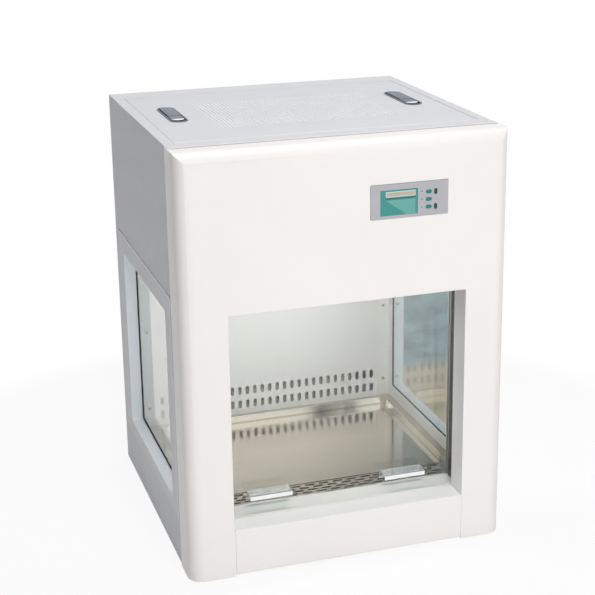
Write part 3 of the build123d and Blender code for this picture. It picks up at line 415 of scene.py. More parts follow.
@dataclass(frozen=True)
class Moulded:
    """Moulded plastic or rubber with a fine spark-eroded grain."""

    name: str
    colour: Colour
    roughness: float = 0.42
    grain: float = 0.12
    coat: float = 0.0

    def make(self) -> bpy.types.Material:
        """Wires the finish.

        Returns:
            The material.
        """
        wiring = Wiring(self.name)
        pits = wiring.noise(1500.0, 2.0)
        clouds = wiring.noise(24.0, 3.0)
        colour = wiring.mottle(wiring.span(clouds, 0.0, 1.0), self.colour, 0.93)
        return wiring.close(
            wiring.shader(
                Base_Color=colour,
                Roughness=wiring.span(clouds, self.roughness - 0.04, self.roughness + 0.05),
                Normal=wiring.bump(pits, self.grain, 0.00012),
                Coat_Weight=self.coat,
                Coat_Roughness=0.08,
            )
        )


@dataclass(frozen=True)
class FilterPaper:
    """Felted filter fibre, matte and faintly flecked."""

    name: str
    colour: Colour

    def make(self) -> bpy.types.Material:
        """Wires the finish.

        Returns:
            The material.
        """
        wiring = Wiring(self.name)
        fibres = wiring.noise(900.0, 4.0, wiring.place((1.0, 3.0, 1.0)), 0.7)
        wads = wiring.noise(110.0, 3.0)
        colour = wiring.mottle(wiring.span(fibres, 0.0, 1.0), self.colour, 0.88)
        relief = wiring.bump(fibres, 0.5, 0.0003, wiring.bump(wads, 0.4, 0.0012))
        return wiring.close(
            wiring.shader(Base_Color=colour, Roughness=0.95, Normal=relief, Sheen_Weight=0.2)
        )


@dataclass(frozen=True)
class LampGlass:
    """Frosted lamp glass, unlit, with a chalky coat inside."""

    name: str
    colour: Colour

    def make(self) -> bpy.types.Material:
        """Wires the finish.

        Returns:
            The material.
        """
        wiring = Wiring(self.name)
        chalk = wiring.noise(320.0, 3.0)
        colour = wiring.mottle(wiring.span(chalk, 0.0, 1.0), self.colour, 0.95)
        return wiring.close(
            wiring.shader(
                Base_Color=colour,
                Roughness=wiring.span(chalk, 0.16, 0.24),
                Subsurface_Weight=0.15,
                Subsurface_Scale=0.004,
                Coat_Weight=0.6,
                Coat_Roughness=0.05,
            )
        )


@dataclass(frozen=True)
class ScreenFilm:
    """A liquid crystal screen with its rows of dots, under a clear film."""

    name: str
    colour: Colour
    lit: float = 0.02

    def make(self) -> bpy.types.Material:
        """Wires the finish, with its rows of dots as a fine wave.

        Returns:
            The material.
        """
        wiring = Wiring(self.name)
        rows = wiring.node(
            "TexWave",
            {"Vector": wiring.place(), "Scale": 900.0, "Distortion": 0.0},
            bands_direction="Z",
        )
        clouds = wiring.noise(60.0, 2.0)
        colour = wiring.mottle(rows.outputs[1], self.colour, 0.93)
        return wiring.close(
            wiring.shader(
                Base_Color=colour,
                Roughness=wiring.span(clouds, 0.2, 0.27),
                Emission_Color=self.colour,
                Emission_Strength=self.lit,
                Coat_Weight=0.5,
                Coat_Roughness=0.06,
            )
        )


Finish = (
    PowderCoat | BrushedMetal | ClearSheet | Moulded | FilterPaper | LampGlass | ScreenFilm
)

RANGE_OF_FINISHES: tuple[Finish, ...] = (
    PowderCoat("white_paint", (0.86, 0.84, 0.83), 0.34, 0.07),
    PowderCoat("grey_paint", (0.64, 0.65, 0.68), 0.5, 0.10),
    # paler paint for folds and beads: a painted highlight
    PowderCoat("fold_paint", (0.90, 0.91, 0.93), 0.3, 0.05),
    PowderCoat("intake_paint", (0.74, 0.75, 0.77), 0.40, 0.10),
    PowderCoat("liner_paint", (0.78, 0.775, 0.75), 0.5, 0.06),
    PowderCoat("sill_paint", (0.74, 0.72, 0.69), 0.42, 0.06),
    PowderCoat("baffle_paint", (0.62, 0.59, 0.53), 0.5, 0.06),
    # surround: its lighter colour on faces that don't look sideways is a painted highlight
    PowderCoat(
        "surround_paint", (0.66, 0.67, 0.70), 0.46, 0.08, edges=(0.84, 0.85, 0.89)
    ),
    # stainless: painted shade towards the tray's front and a painted highlight above its lip
    BrushedMetal(
        "stainless",
        (0.76, 0.69, 0.58),
        roughness=0.10,
        lines=0.03,
        anisotropic=0.8,
        rubbed=(-0.19, 0.02),
        lip=0.0945,
    ),
    BrushedMetal("sill_metal", (0.93, 0.93, 0.92), Grain.ALONG_X, 0.55),
    BrushedMetal("brass", (0.72, 0.56, 0.30), Grain.ALONG_Y, 0.25),
    BrushedMetal("guide_aluminium", (0.62, 0.62, 0.61), Grain.ALONG_Z, 0.38),
    ClearSheet("clear_glass", (0.97, 0.985, 0.975)),
    # grey tint that darkens the shaded back wall seen through the left window: painted shade
    ClearSheet("side_glass", (0.82, 0.83, 0.83), 1.25),
    ClearSheet("tinted_glass", (0.84, 0.90, 0.90), 1.72),
    ClearSheet("clear_acrylic", (1.0, 1.0, 1.0), 1.49, 0.02, 0.9),
    # pale edge paint: a sawn edge's frost, and a painted highlight where the edges catch light
    Moulded("acrylic_edge", (0.95, 0.96, 0.97), 0.12, 0.02, 0.6),
    Moulded("black_rubber", (0.018, 0.018, 0.019), 0.7, 0.3),
    FilterPaper("filter_paper", (0.86, 0.87, 0.86)),
    Moulded("lamp_housing", (0.82, 0.82, 0.81), 0.35, 0.1),
    LampGlass("lamp_glass", (0.85, 0.86, 0.88)),
    Moulded("fascia", (0.45, 0.445, 0.48), 0.4, 0.1),
    ScreenFilm("display", (0.020, 0.26, 0.235)),
    # lighter teal for the slanted patch on the screen: a painted reflection
    ScreenFilm("screen_patch", (0.11, 0.37, 0.34)),
    ScreenFilm("screen_strip", (0.46, 0.41, 0.34)),
    ScreenFilm("screen_frame", (0.62, 0.68, 0.62)),
    ScreenFilm("screen_line", (0.008, 0.10, 0.095)),
    Moulded("panel_lamp", (0.24, 0.25, 0.27), 0.2, 0.02, 0.6),
    # grey for the rail seal, also painted shade for the gap's shadow line
    Moulded("seal_rubber", (0.45, 0.45, 0.46), 0.6, 0.2),
    # black for the wipers, also painted shade for the guide channel's shadow
    Moulded("wiper", (0.03, 0.03, 0.032), 0.4, 0.2, 0.2),
    # pale paint on the pull lever's lip: a painted highlight
    Moulded("pull_lip", (0.90, 0.91, 0.93), 0.2, 0.03, 0.4),
    Moulded("teal_key", (0.01, 0.20, 0.19), 0.34, 0.1),
    Moulded("dark_key", (0.008, 0.06, 0.06), 0.34, 0.1),
    Moulded("board", (0.02, 0.09, 0.04), 0.4, 0.05),
    Moulded("black_plastic", (0.02, 0.02, 0.022), 0.4, 0.2),
    Moulded("pull_grey", (0.12, 0.145, 0.175), 0.42, 0.08),
    BrushedMetal("steel", (0.66, 0.66, 0.67), Grain.ALONG_Y, 0.24),
    Moulded("motor", (0.03, 0.03, 0.033), 0.45, 0.3),
    BrushedMetal("impeller", (0.70, 0.71, 0.72), Grain.ALONG_Z, 0.3),
)

FINISHES = {finish.name: finish for finish in RANGE_OF_FINISHES}


class Paint:
    """The finishes as materials, each made once."""

    def __init__(self) -> None:
        """Starts with none made."""
        self.made: dict[str, bpy.types.Material] = {}

    def get(self, name: str) -> bpy.types.Material:
        """The material of a finish.

        Args:
            name: The finish's name.

        Returns:
            The material, made at its first use.
        """
        if name not in self.made:
            self.made[name] = FINISHES[name].make()
        return self.made[name]


PAINT = Paint()


def dress(node: str, finish: str, edge: float) -> None:
    """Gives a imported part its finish, softened edges and smooth curves.

    Args:
        node: The part.
        finish: The finish's name.
        edge: The width that its edges are rounded to, in millimetres, or 0 for a part that
            keeps its flat faces, as clear sheets must.
    """
    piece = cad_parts[node]
    piece.data.materials.clear()
    piece.data.materials.append(PAINT.get(finish))
    rounded = edge > 0
    piece.data.polygons.foreach_set("use_smooth", [rounded] * len(piece.data.polygons))
    weld = piece.modifiers.new("merge_corners", "WELD")
    weld.merge_threshold = HAIR
    flat = piece.modifiers.new("plain_faces", "DECIMATE")
    flat.decimate_type = "DISSOLVE"
    flat.angle_limit = LEVEL_ANGLE
    if rounded:
        soft = piece.modifiers.new("soft_edges", "BEVEL")
        soft.width = edge * MM
        soft.segments = 2
        soft.limit_method = "ANGLE"
        soft.angle_limit = CORNER_ANGLE
        soft.use_clamp_overlap = True
        even = piece.modifiers.new("even_normals", "WEIGHTED_NORMAL")
        even.weight = 100


# Workshop


class Facing(Enum):
    """The way that a round piece points."""

    UP = (0.0, 0.0, 1.0)
    FRONT = (0.0, -1.0, 0.0)
    REAR = (0.0, 1.0, 0.0)
    SIDE = (1.0, 0.0, 0.0)

    @property
    def way(self) -> Vector:
        """The direction as a vector."""
        return Vector(self.value)

    @property
    def turn(self) -> Point:
        """The angles that bring a primitive's +Z to this way."""
        return tuple(UPRIGHT.rotation_difference(self.way).to_euler())


class Piece:
    """A piece on the bench, shaped with Blender's own tools."""

    def __init__(self, name: str) -> None:
        """Takes the active object as the piece and puts its place in its mesh.

        Args:
            name: The piece's name.
        """
        self.thing = bpy.context.active_object
        self.thing.name = name
        self.thing.data.name = name
        self.choose()
        bpy.ops.object.transform_apply(location=True, rotation=True, scale=True)

    @classmethod
    def block(cls, name: str, x: Span, y: Span, z: Span) -> "Piece":
        """Starts from a cube between two x, two y and two z values.

        Args:
            name: The piece's name.
            x: Its two x values.
            y: Its two y values.
            z: Its two z values.

        Returns:
            The piece.
        """
        bpy.ops.object.select_all(action="DESELECT")
        middle = [sum(side) / 2 for side in (x, y, z)]
        size = [side[1] - side[0] for side in (x, y, z)]
        bpy.ops.mesh.primitive_cube_add(size=1.0, location=middle, scale=size)
        return cls(name)

    @classmethod
    def disc(
        cls, name: str, centre: Point, radius: float, depth: float, facing: Facing, sides: int = 32
    ) -> "Piece":
        """Starts from a cylinder.

        Args:
            name: The piece's name.
            centre: The middle of the cylinder.
            radius: Its radius.
            depth: Its length.
            facing: The way that its axis points.
            sides: How many flat sides make it round.

        Returns:
            The piece.
        """
        bpy.ops.object.select_all(action="DESELECT")
        bpy.ops.mesh.primitive_cylinder_add(
            vertices=sides, radius=radius, depth=depth, location=centre, rotation=facing.turn
        )
        return cls(name)

    @classmethod
    def obround(
        cls, name: str, centre: Point, size: Point, facing: Facing, along: Vector, sides: int = 24
    ) -> "Piece":
        """Starts from a cylinder whose halves are drawn apart.

        Args:
            name: The piece's name.
            centre: Its middle.
            size: Its length along the slot, its width and its depth.
            facing: The way that its axis points.
            along: The direction of its length.
            sides: How many flat sides make its two ends.

        Returns:
            The piece.
        """
        length, width, depth = size
        bpy.ops.object.select_all(action="DESELECT")
        bpy.ops.mesh.primitive_cylinder_add(vertices=sides, radius=width / 2, depth=depth)
        started = cls(name)
        started.choose()
        half_step = Matrix.Rotation(math.pi / sides, 4, "Z")
        started.thing.matrix_world = half_step
        bpy.ops.object.transform_apply(location=True, rotation=True, scale=True)
        for way in (-1.0, 1.0):
            with started.edit(Kind.VERT, lambda at, _: at.x * way > 0):
                bpy.ops.transform.translate(value=(way * (length - width) / 2, 0.0, 0.0))
        frame_turn = Matrix((along, facing.way.cross(along), facing.way)).transposed().to_4x4()
        started.choose()
        started.thing.matrix_world = Matrix.Translation(centre) @ frame_turn
        bpy.ops.object.transform_apply(location=True, rotation=True, scale=True)
        return started

    def choose(self) -> None:
        """Selects this piece alone."""
        bpy.ops.object.select_all(action="DESELECT")
        self.thing.select_set(True)
        bpy.context.view_layer.objects.active = self.thing

    @contextmanager
    def edit(self, kind: Kind, test: Test) -> Iterator[None]:
        """Opens edit mode with the parts that pass a test selected.

        Args:
            kind: What is selected.
            test: Says yes or no from a part's middle and its normal.

        Yields:
            Nothing: the selection is ready for the next operator.
        """
        self.choose()
        bpy.ops.object.mode_set(mode="EDIT")
        bpy.ops.mesh.select_mode(type=kind.value)
        bpy.ops.mesh.select_all(action="DESELECT")
        mesh = bmesh.from_edit_mesh(self.thing.data)
        if kind is Kind.FACE:
            for face in mesh.faces:
                face.select_set(test(face.calc_center_median(), face.normal))
        elif kind is Kind.EDGE:
            for edge in mesh.edges:
                normal = sum((face.normal for face in edge.link_faces), Vector())
                edge.select_set(test((edge.verts[0].co + edge.verts[1].co) / 2, normal))
        else:
            for vert in mesh.verts:
                vert.select_set(test(vert.co, vert.normal))
        mesh.select_flush_mode()
        bmesh.update_edit_mesh(self.thing.data)
        yield
        bpy.ops.object.mode_set(mode="OBJECT")

    def modify(self, kind: str, **settings: Any) -> None:
        """Adds a modifier and applies it.

        Args:
            kind: The modifier's type.
            **settings: Its settings.
        """
        self.choose()
        made = self.thing.modifiers.new(kind.lower(), kind)
        for key, value in settings.items():
            setattr(made, key, value)
        bpy.ops.object.modifier_apply(modifier=made.name)

    def repeat(self, count: int, step: Point, joined: bool = False) -> None:
        """Repeats the piece in a row.

        Args:
            count: How many there are in the end.
            step: The way from one to the next.
            joined: Whether neighbours share their corners.
        """
        self.modify(
            "ARRAY",
            count=count,
            use_relative_offset=False,
            use_constant_offset=True,
            constant_offset_displace=step,
            use_merge_vertices=joined,
            merge_threshold=HAIR,
        )

    def soften(self, width: float, segments: int = 2) -> None:
        """Rounds the piece's edges.

        Args:
            width: The width of the rounding.
            segments: How many faces make it.
        """
        self.modify(
            "BEVEL",
            width=width,
            segments=segments,
            limit_method="ANGLE",
            angle_limit=EDGE_ANGLE,
            use_clamp_overlap=True,
        )

    def slice(self, at: float, across: Vector) -> None:
        """Splits the faces along a plane, so that either side can be shaped on its own.

        Args:
            at: How far the plane is from the origin.
            across: The way that the plane faces, along an axis.
        """
        with self.edit(Kind.FACE, lambda middle, way: True):
            bpy.ops.mesh.bisect(plane_co=across * at, plane_no=across)

    def draw_out(self, by: Point, test: Test) -> None:
        """Extrudes the faces that pass a test.

        Args:
            by: How far they are drawn out.
            test: Says yes or no from a face's middle and its normal.
        """
        with self.edit(Kind.FACE, test):
            bpy.ops.mesh.extrude_region_move(TRANSFORM_OT_translate={"value": by})

    def cut(self, cutter: "Piece") -> None:
        """Cuts another piece's shape out of this one, and puts the cutter away.

        Args:
            cutter: The piece whose shape is cut out.
        """
        self.modify("BOOLEAN", operation="DIFFERENCE", solver="EXACT", object=cutter.thing)
        bpy.data.objects.remove(cutter.thing)

    def absorb(self, others: Sequence["Piece"]) -> None:
        """Joins other pieces' meshes to this one.

        Args:
            others: The pieces, which are used up.
        """
        self.choose()
        for other in others:
            other.thing.select_set(True)
        bpy.ops.object.join()

    def copy_to(self, by: Point) -> "Piece":
        """A copy with its own mesh, moved.

        Args:
            by: How far it moves.

        Returns:
            The copy.
        """
        self.choose()
        bpy.ops.object.duplicate(linked=False)
        bpy.context.active_object.location = by
        return Piece(self.thing.name)

    def paint(self, finish: str, test: Test) -> None:
        """Gives some faces a finish of their own.

        Args:
            finish: The finish's name.
            test: Says yes or no from a face's middle and its normal.
        """
        self.thing.data.materials.append(PAINT.get(finish))
        last = len(self.thing.data.materials) - 1
        for face in self.thing.data.polygons:
            if test(face.center, face.normal):
                face.material_index = last

    def finish(
        self, finish: str, body: str, stands_for: Sequence[str] = (), smooth: float = 35.0
    ) -> None:
        """Shades, paints and mounts the piece.

        Args:
            finish: The finish's name.
            body: The body that it moves with.
            stands_for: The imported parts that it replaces.
            smooth: The angle up to which faces blend, in degrees.
        """
        self.choose()
        bpy.ops.object.shade_smooth_by_angle(angle=math.radians(smooth))
        self.thing.data.materials.clear()
        self.thing.data.materials.append(PAINT.get(finish))
        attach(self.thing, body)
        if stands_for:
            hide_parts(*stands_for)
        log.info("%s: %d faces on %s", self.thing.name, len(self.thing.data.polygons), body)


# Sub-assemblies


@dataclass
class Cover:
    """The lift-off cover: a pan turned over, with a punched intake and two pull holes."""

    half_width: float = 0.2797
    y: Span = (-0.1967, 0.2367)
    z: Span = (0.7703, 0.782)
    sheet: float = 0.002
    edge: float = 0.0025
    pull: Point = (0.228, 0.042, 0.782)
    pull_hole: Span = (0.1372, 0.0292)
    intake_y: float = 0.015
    pitch: float = 0.007
    hole_radius: float = 0.0021
    columns: int = 48
    rows: int = 34

    def pan(self) -> Piece:
        """The sheet with its folded skirt, its pull holes and the opening for the intake.

        Returns:
            The pan.
        """
        low, top = self.z
        pan = Piece.block("cover_pan", (-self.half_width, self.half_width), self.y, self.z)
        with pan.edit(Kind.EDGE, lambda at, way: way.z > 0.5 or abs(at.z - (low + top) / 2) < MM):
            bpy.ops.mesh.bevel(offset=self.edge, segments=4, affect="EDGES", profile=0.5)
        inner = self.half_width - self.sheet
        pan.cut(
            Piece.block(
                "hollow",
                (-inner, inner),
                (self.y[0] + self.sheet, self.y[1] - self.sheet),
                (low - self.sheet, top - self.sheet),
            )
        )
        span = (self.columns * self.pitch / 2, self.rows * self.pitch / 2)
        pan.cut(
            Piece.block(
                "opening",
                (-span[0], span[0]),
                (self.intake_y - span[1], self.intake_y + span[1]),
                (top - 2 * self.sheet, top + self.sheet),
            )
        )
        for side in Side:
            place = (side.value * self.pull[0], self.pull[1], top)
            size = (*self.pull_hole, 4 * self.sheet)
            pan.cut(Piece.obround("pull_hole", place, size, Facing.UP, BACKWARDS))
        return pan

    def intake(self) -> Piece:
        """The punched field: one round hole in its square, repeated in both directions.

        Returns:
            The field.
        """
        corner = (
            (1 - self.columns) * self.pitch / 2,
            self.intake_y + (1 - self.rows) * self.pitch / 2,
            self.z[1],
        )
        bpy.ops.object.select_all(action="DESELECT")
        bpy.ops.mesh.primitive_circle_add(
            vertices=8, radius=self.hole_radius, fill_type="NOTHING", location=corner
        )
        field = Piece("cover_intake")
        middle = Vector(corner)
        spread = self.pitch / 2 / self.hole_radius
        with field.edit(Kind.EDGE, lambda at, _: True):
            bpy.ops.mesh.extrude_region_move()
            bpy.ops.transform.resize(value=(spread, spread, 1.0), center_override=middle)
        corner_reach = math.sqrt(2)
        with field.edit(
            Kind.VERT,
            lambda at, _: (at - middle).length > 0.45 * self.pitch
            and min(abs(at.x - middle.x), abs(at.y - middle.y)) > 0.1 * self.pitch,
        ):
            bpy.ops.transform.resize(
                value=(corner_reach, corner_reach, 1.0), center_override=middle
            )
        field.repeat(self.columns, (self.pitch, 0.0, 0.0), joined=True)
        field.repeat(self.rows, (0.0, self.pitch, 0.0), joined=True)
        with field.edit(Kind.FACE, lambda at, _: True):
            bpy.ops.mesh.normals_make_consistent(inside=False)
            upright = bmesh.from_edit_mesh(field.thing.data).faces
            upright.ensure_lookup_table()
            if upright[0].normal.z < 0:
                bpy.ops.mesh.flip_normals()
        field.modify("SOLIDIFY", thickness=self.sheet, offset=-1.0)
        return field

    def build(self) -> None:
        """Makes the cover and hangs it on its body."""
        pan = self.pan()
        pan.finish("grey_paint", "cover", ("top_cover",))
        # the front fold's forward faces get paler paint: a painted highlight along the rounded fold
        pan.paint("fold_paint", lambda at, way: at.y < self.y[0] + self.edge and way.y < -0.2)
        self.intake().finish("intake_paint", "cover")


@dataclass
class Pull:
    """A flush pull: an oval pocket with a lever that flips up out of it."""

    side: Side
    centre: Point = (0.228, 0.042, 0.782)
    length: float = 0.142
    width: float = 0.034
    rim: float = 0.0042
    rim_height: float = 0.002
    rim_edge: float = 0.0012
    depth: float = 0.017
    wall: float = 0.0015
    bezel: float = 0.0027
    lever_y: Span = (-0.016, 0.1035)
    lever_z: Span = (0.780, 0.784)
    lever_half_width: float = 0.0122
    lever_step: float = 0.040
    lever_rise: float = 0.0015
    lip: float = 0.004
    lip_length: float = 0.011
    pin: Point = (0.228, 0.0905, 0.7815)
    pin_boss: float = 0.0045

    def __post_init__(self) -> None:
        """Finds the pull's own x and names."""
        self.x = self.side.value * self.centre[0]
        self.body = f"{self.side.word}_pull"

    def housing(self) -> Piece:
        """The oval rim and the pocket under it.

        Returns:
            The housing.
        """
        top = self.centre[2] + self.rim_height
        place = (self.x, self.centre[1], self.centre[2] + self.rim_height / 2)
        size = (self.length, self.width, self.rim_height)
        name = f"{self.side.word}_pull_housing"
        made = Piece.obround(name, place, size, Facing.UP, BACKWARDS, 48)
        sink = self.wall - self.rim_height - self.depth
        with made.edit(Kind.FACE, lambda at, way: way.z > SQUARE_ON):
            bpy.ops.mesh.inset(thickness=self.rim - self.rim_edge)
            bpy.ops.mesh.extrude_region_move(TRANSFORM_OT_translate={"value": (0.0, 0.0, sink)})
        seat = self.centre[2] - MM
        with made.edit(Kind.FACE, lambda at, way: way.z < -SQUARE_ON and at.z > seat):
            bpy.ops.mesh.inset(thickness=self.bezel)
            bpy.ops.mesh.extrude_region_move(
                TRANSFORM_OT_translate={"value": (0.0, 0.0, -self.depth)}
            )
        with made.edit(Kind.EDGE, lambda at, way: abs(at.z - top) < HAIR and way.z > 0.2):
            bpy.ops.mesh.bevel(offset=self.rim_edge * 0.8, segments=3, affect="EDGES")
        return made

    def lever(self) -> Piece:
        """The flap: a raised plate at the rear, a step, and a turned-down lip at the front.

        Returns:
            The lever.
        """
        low, top = self.lever_z
        front, rear = self.lever_y
        place = (self.x, (front + rear) / 2, (low + top) / 2)
        size = (rear - front, 2 * self.lever_half_width, top - low)
        name = f"{self.side.word}_pull_lever"
        made = Piece.obround(name, place, size, Facing.UP, BACKWARDS, 32)
        step = front + self.lever_step
        for cut_y in (front + self.lip, front + self.lip_length, step - self.lever_rise, step):
            made.slice(cut_y, BACKWARDS)
        with made.edit(Kind.VERT, lambda at, _: at.z > top - MM and at.y > step - 0.1 * MM):
            bpy.ops.transform.translate(value=(0.0, 0.0, self.lever_rise))
        made.draw_out(
            (0.0, 0.0, -self.lip), lambda at, way: way.z < -SQUARE_ON and at.y < front + self.lip
        )
        made.soften(0.5 * MM, 3)
        boss = Piece.disc(
            "boss",
            (self.x, self.pin[1], self.pin[2]),
            self.pin_boss,
            2 * self.lever_half_width,
            Facing.SIDE,
        )
        boss.soften(0.4 * MM)
        made.absorb([boss])
        return made

    def build(self) -> None:
        """Makes the housing and the lever, with painted shade in the pocket and under the lip and a
        painted highlight on the lip.
        """
        housing = self.housing()
        housing.finish("pull_grey", "cover", (f"{self.side.word}_handle_housing",))
        # the pocket below the rim is painted black: painted shade in the recess
        housing.paint("black_plastic", lambda at, way: at.z < self.centre[2] + 0.2 * MM)
        lever = self.lever()
        lever.finish("pull_grey", self.body, (f"{self.side.word}_handle_lever",))
        front = self.lever_y[0]
        # the lip's upward faces are painted pale: a painted highlight on the lever's nose
        lever.paint("pull_lip", lambda at, way: at.y < front + self.lip_length and way.z > 0.2)
        # the lip's front faces are painted black: painted shade standing in for the hollow under
        # the lip
        lever.paint("black_plastic", lambda at, way: at.y < front + self.lip and way.z <= 0.2)


@dataclass
class Screen:
    """The lit figures of the display, without any words, a painted reflection on its screen, and
    the lamps beside its keys.
    """

    strip_inset: Point = (0.0104, 0.0031, 0.0046)
    strip_height: float = 0.0098
    patch_top: float = 0.0181
    patch_slant: float = 0.038
    relief: float = 0.00015
    frame_width: float = 0.0015
    line_drop: Span = (0.0036, 0.0016)
    patch_foot: float = 0.0006
    lamp_x: float = 0.1322
    lamp_heights: tuple[float, float, float] = (0.6854, 0.6713, 0.6572)
    lamp_radius: float = 0.0013
    lamp_depth: float = 0.0008

    def build(self) -> None:
        """Makes the figures in front of the screen, the painted reflection on it and the three
        small lamps.
        """
        low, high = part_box("display_window")
        face = low[1]
        left, top, right = self.strip_inset
        y = (face - self.relief, face + self.relief)
        strip_x = (low[0] + left, high[0] - right)
        strip_z = (high[2] - top - self.strip_height, high[2] - top)
        strip = Piece.block("screen_strip", strip_x, y, strip_z)
        with strip.edit(Kind.FACE, lambda at, way: way.y < -SQUARE_ON):
            bpy.ops.mesh.inset(thickness=self.frame_width)
        strip.finish("screen_frame", "cabinet")
        middle = Vector((sum(strip_x) / 2, y[0], sum(strip_z) / 2))
        strip.paint(
            "screen_strip", lambda at, way: way.y < -SQUARE_ON and (at - middle).length < MM
        )
        line_z = (strip_z[0] - self.line_drop[0], strip_z[0] - self.line_drop[1])
        line = Piece.block("screen_line", strip_x, y, line_z)
        line.soften(0.05 * MM, 1)
        line.finish("screen_line", "cabinet")
        # a lighter teal film with a slanted corner: a painted reflection on the screen
        reflection_z = (low[2] + self.patch_foot, high[2] - self.patch_top)
        reflection = Piece.block("screen_patch", strip_x, y, reflection_z)
        with reflection.edit(Kind.VERT, lambda at, _: at.x < strip_x[0] + MM and at.z < reflection_z[0] + MM):
            bpy.ops.transform.translate(value=(self.patch_slant, 0.0, 0.0))
        reflection.soften(0.05 * MM, 1)
        reflection.finish("screen_patch", "cabinet")
        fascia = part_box("display_fascia")[0][1]
        size = (self.lamp_radius, self.lamp_depth)
        lamps = [
            Piece.disc("panel_lamp", (self.lamp_x, fascia, height), *size, Facing.FRONT, 20)
            for height in self.lamp_heights
        ]
        for lamp in lamps:
            lamp.soften(0.3 * MM, 3)
        lamps[0].absorb(lamps[1:])
        lamps[0].thing.name = "panel_lamps"
        lamps[0].finish("panel_lamp", "cabinet")


@dataclass
class Screws:
    """Pan-head screws with a cross recess, two columns of them."""

    name: str
    node: str
    facing: Facing
    rows: int
    finish_name: str
    radius: float = 0.0035
    height: float = 0.0018
    places: tuple[Point, ...] = ()
    recess: Point = (3.6 * MM, 0.8 * MM, 1.8 * MM)
    crown_edge: float = 0.0009

    def head(self, place: Point) -> Piece:
        """One head, with its place at the middle of its seat.

        Args:
            place: The middle of its seat.

        Returns:
            The head.
        """
        way = self.facing.way
        centre = Vector(place) + way * self.height / 2
        head = Piece.disc(self.name, centre, self.radius, self.height, self.facing, 24)
        crown = Vector(place) + way * self.height
        with head.edit(Kind.EDGE, lambda at, _: abs((at - crown).dot(way)) < 0.05 * MM):
            bpy.ops.mesh.bevel(offset=self.crown_edge, segments=3, affect="EDGES")
        for arm in (ACROSS, way.cross(ACROSS)):
            frame_of_arm = Matrix((arm, way.cross(arm), way)).transposed()
            size = [abs(part) for part in frame_of_arm @ Vector(self.recess)]
            spans = [(mid - part / 2, mid + part / 2) for mid, part in zip(crown, size)]
            head.cut(Piece.block("recess", *spans))
        return head

    def build(self) -> None:
        """Makes the heads at the places given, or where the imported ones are, in place of them."""
        if self.places:
            heads = [self.head(place) for place in self.places]
            heads[0].absorb(heads[1:])
            heads[0].finish(self.finish_name, "cabinet")
            return
        low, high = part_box(self.node)
        seat = low[1] if self.facing is Facing.REAR else high[1]
        first = (low[0] + self.radius, seat, low[2] + self.radius)
        step = (high[2] - low[2] - 2 * self.radius) / (self.rows - 1)
        across = high[0] - low[0] - 2 * self.radius
        heads = [self.head(first)]
        heads += [
            heads[0].copy_to((column * across, 0.0, row * step))
            for column in range(2)
            for row in range(self.rows)
            if column or row
        ]
        heads[0].absorb(heads[1:])
        heads[0].thing.name = self.name
        heads[0].finish(self.finish_name, "cabinet", (self.node,))


@dataclass
class Grille:
    """The intake grille in front of the tray: four staggered rows of obround slots."""

    sheet: float = 0.0015
    rows: int = 4
    row_pitch: float = 0.010
    pitch: float = 0.028
    slot: Span = (0.020, 0.006)
    margin: float = 0.028
    bend: float = 0.0025

    def build(self) -> None:
        """Makes the folded sheet and punches its slots."""
        low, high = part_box("front_grille")
        made = Piece.block("intake_grille", *zip(low, high))
        with made.edit(Kind.EDGE, lambda at, way: way.z > 0.5 and abs(way.y) > 0.5):
            bpy.ops.mesh.bevel(offset=self.bend, segments=4, affect="EDGES")
        made.cut(
            Piece.block(
                "hollow",
                (low[0] - MM, high[0] + MM),
                (low[1] + self.sheet, high[1] - self.sheet),
                (low[2] - MM, high[2] - self.sheet),
            )
        )
        columns = int((high[0] - low[0] - 2 * self.margin) / self.pitch) - 1
        middle = (low[1] + high[1]) / 2
        for row in range(self.rows):
            start = (row % 2 - 0.5) * self.pitch / 2 - (columns - 1) * self.pitch / 2
            place = (start, middle + (row - (self.rows - 1) / 2) * self.row_pitch, high[2])
            size = (*self.slot, 4 * self.sheet)
            punch = Piece.obround("punch", place, size, Facing.UP, ACROSS, 16)
            punch.repeat(columns, (self.pitch, 0.0, 0.0))
            made.cut(punch)
        made.finish("stainless", "cabinet", ("front_grille",))


@dataclass
class SashHandle:
    """A clear channel bonded to the glass, with a lip to pull on and pale sawn edges, painted pale
    for their frost and as a painted highlight.
    """

    side: Side
    wall: float = 0.003
    lip: float = 0.009
    bend: float = 0.0022

    def build(self) -> None:
        """Folds the channel out of its top plate and paints its edges pale, partly as a painted
        highlight.
        """
        node = f"{self.side.word}_sash_handle"
        low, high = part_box(node)
        spans = list(zip(low, high))
        plate = Piece.block(
            f"{self.side.word}_sash_pull", *spans[:2], (high[2] - self.wall, high[2])
        )
        front, rear = low[1] + self.wall, high[1] - self.wall
        for cut_y in (front, rear):
            plate.slice(cut_y, BACKWARDS)
        plate.draw_out(
            (0.0, 0.0, self.wall - self.lip), lambda at, way: way.z < -SQUARE_ON and at.y < front
        )
        plate.draw_out(
            (0.0, 0.0, low[2] + self.wall - high[2]),
            lambda at, way: way.z < -SQUARE_ON and at.y > rear,
        )
        with plate.edit(
            Kind.EDGE,
            lambda at, way: abs(at.z - high[2]) < HAIR and abs(way.y) > 0.5 and abs(way.x) < 0.1,
        ):
            bpy.ops.mesh.bevel(offset=self.bend, segments=4, affect="EDGES")
        plate.finish("clear_acrylic", "sash", (node,), smooth=1.0)
        # sawn edges painted pale: their frost, and a painted highlight where they catch light
        plate.paint(
            "acrylic_edge",
            lambda at, way: abs(way.x) > SQUARE_ON
            or (way.y < -SQUARE_ON and at.y < low[1] + 0.1 * MM)
            or (way.z < -SQUARE_ON and at.z < high[2] - self.lip + 0.1 * MM),
        )


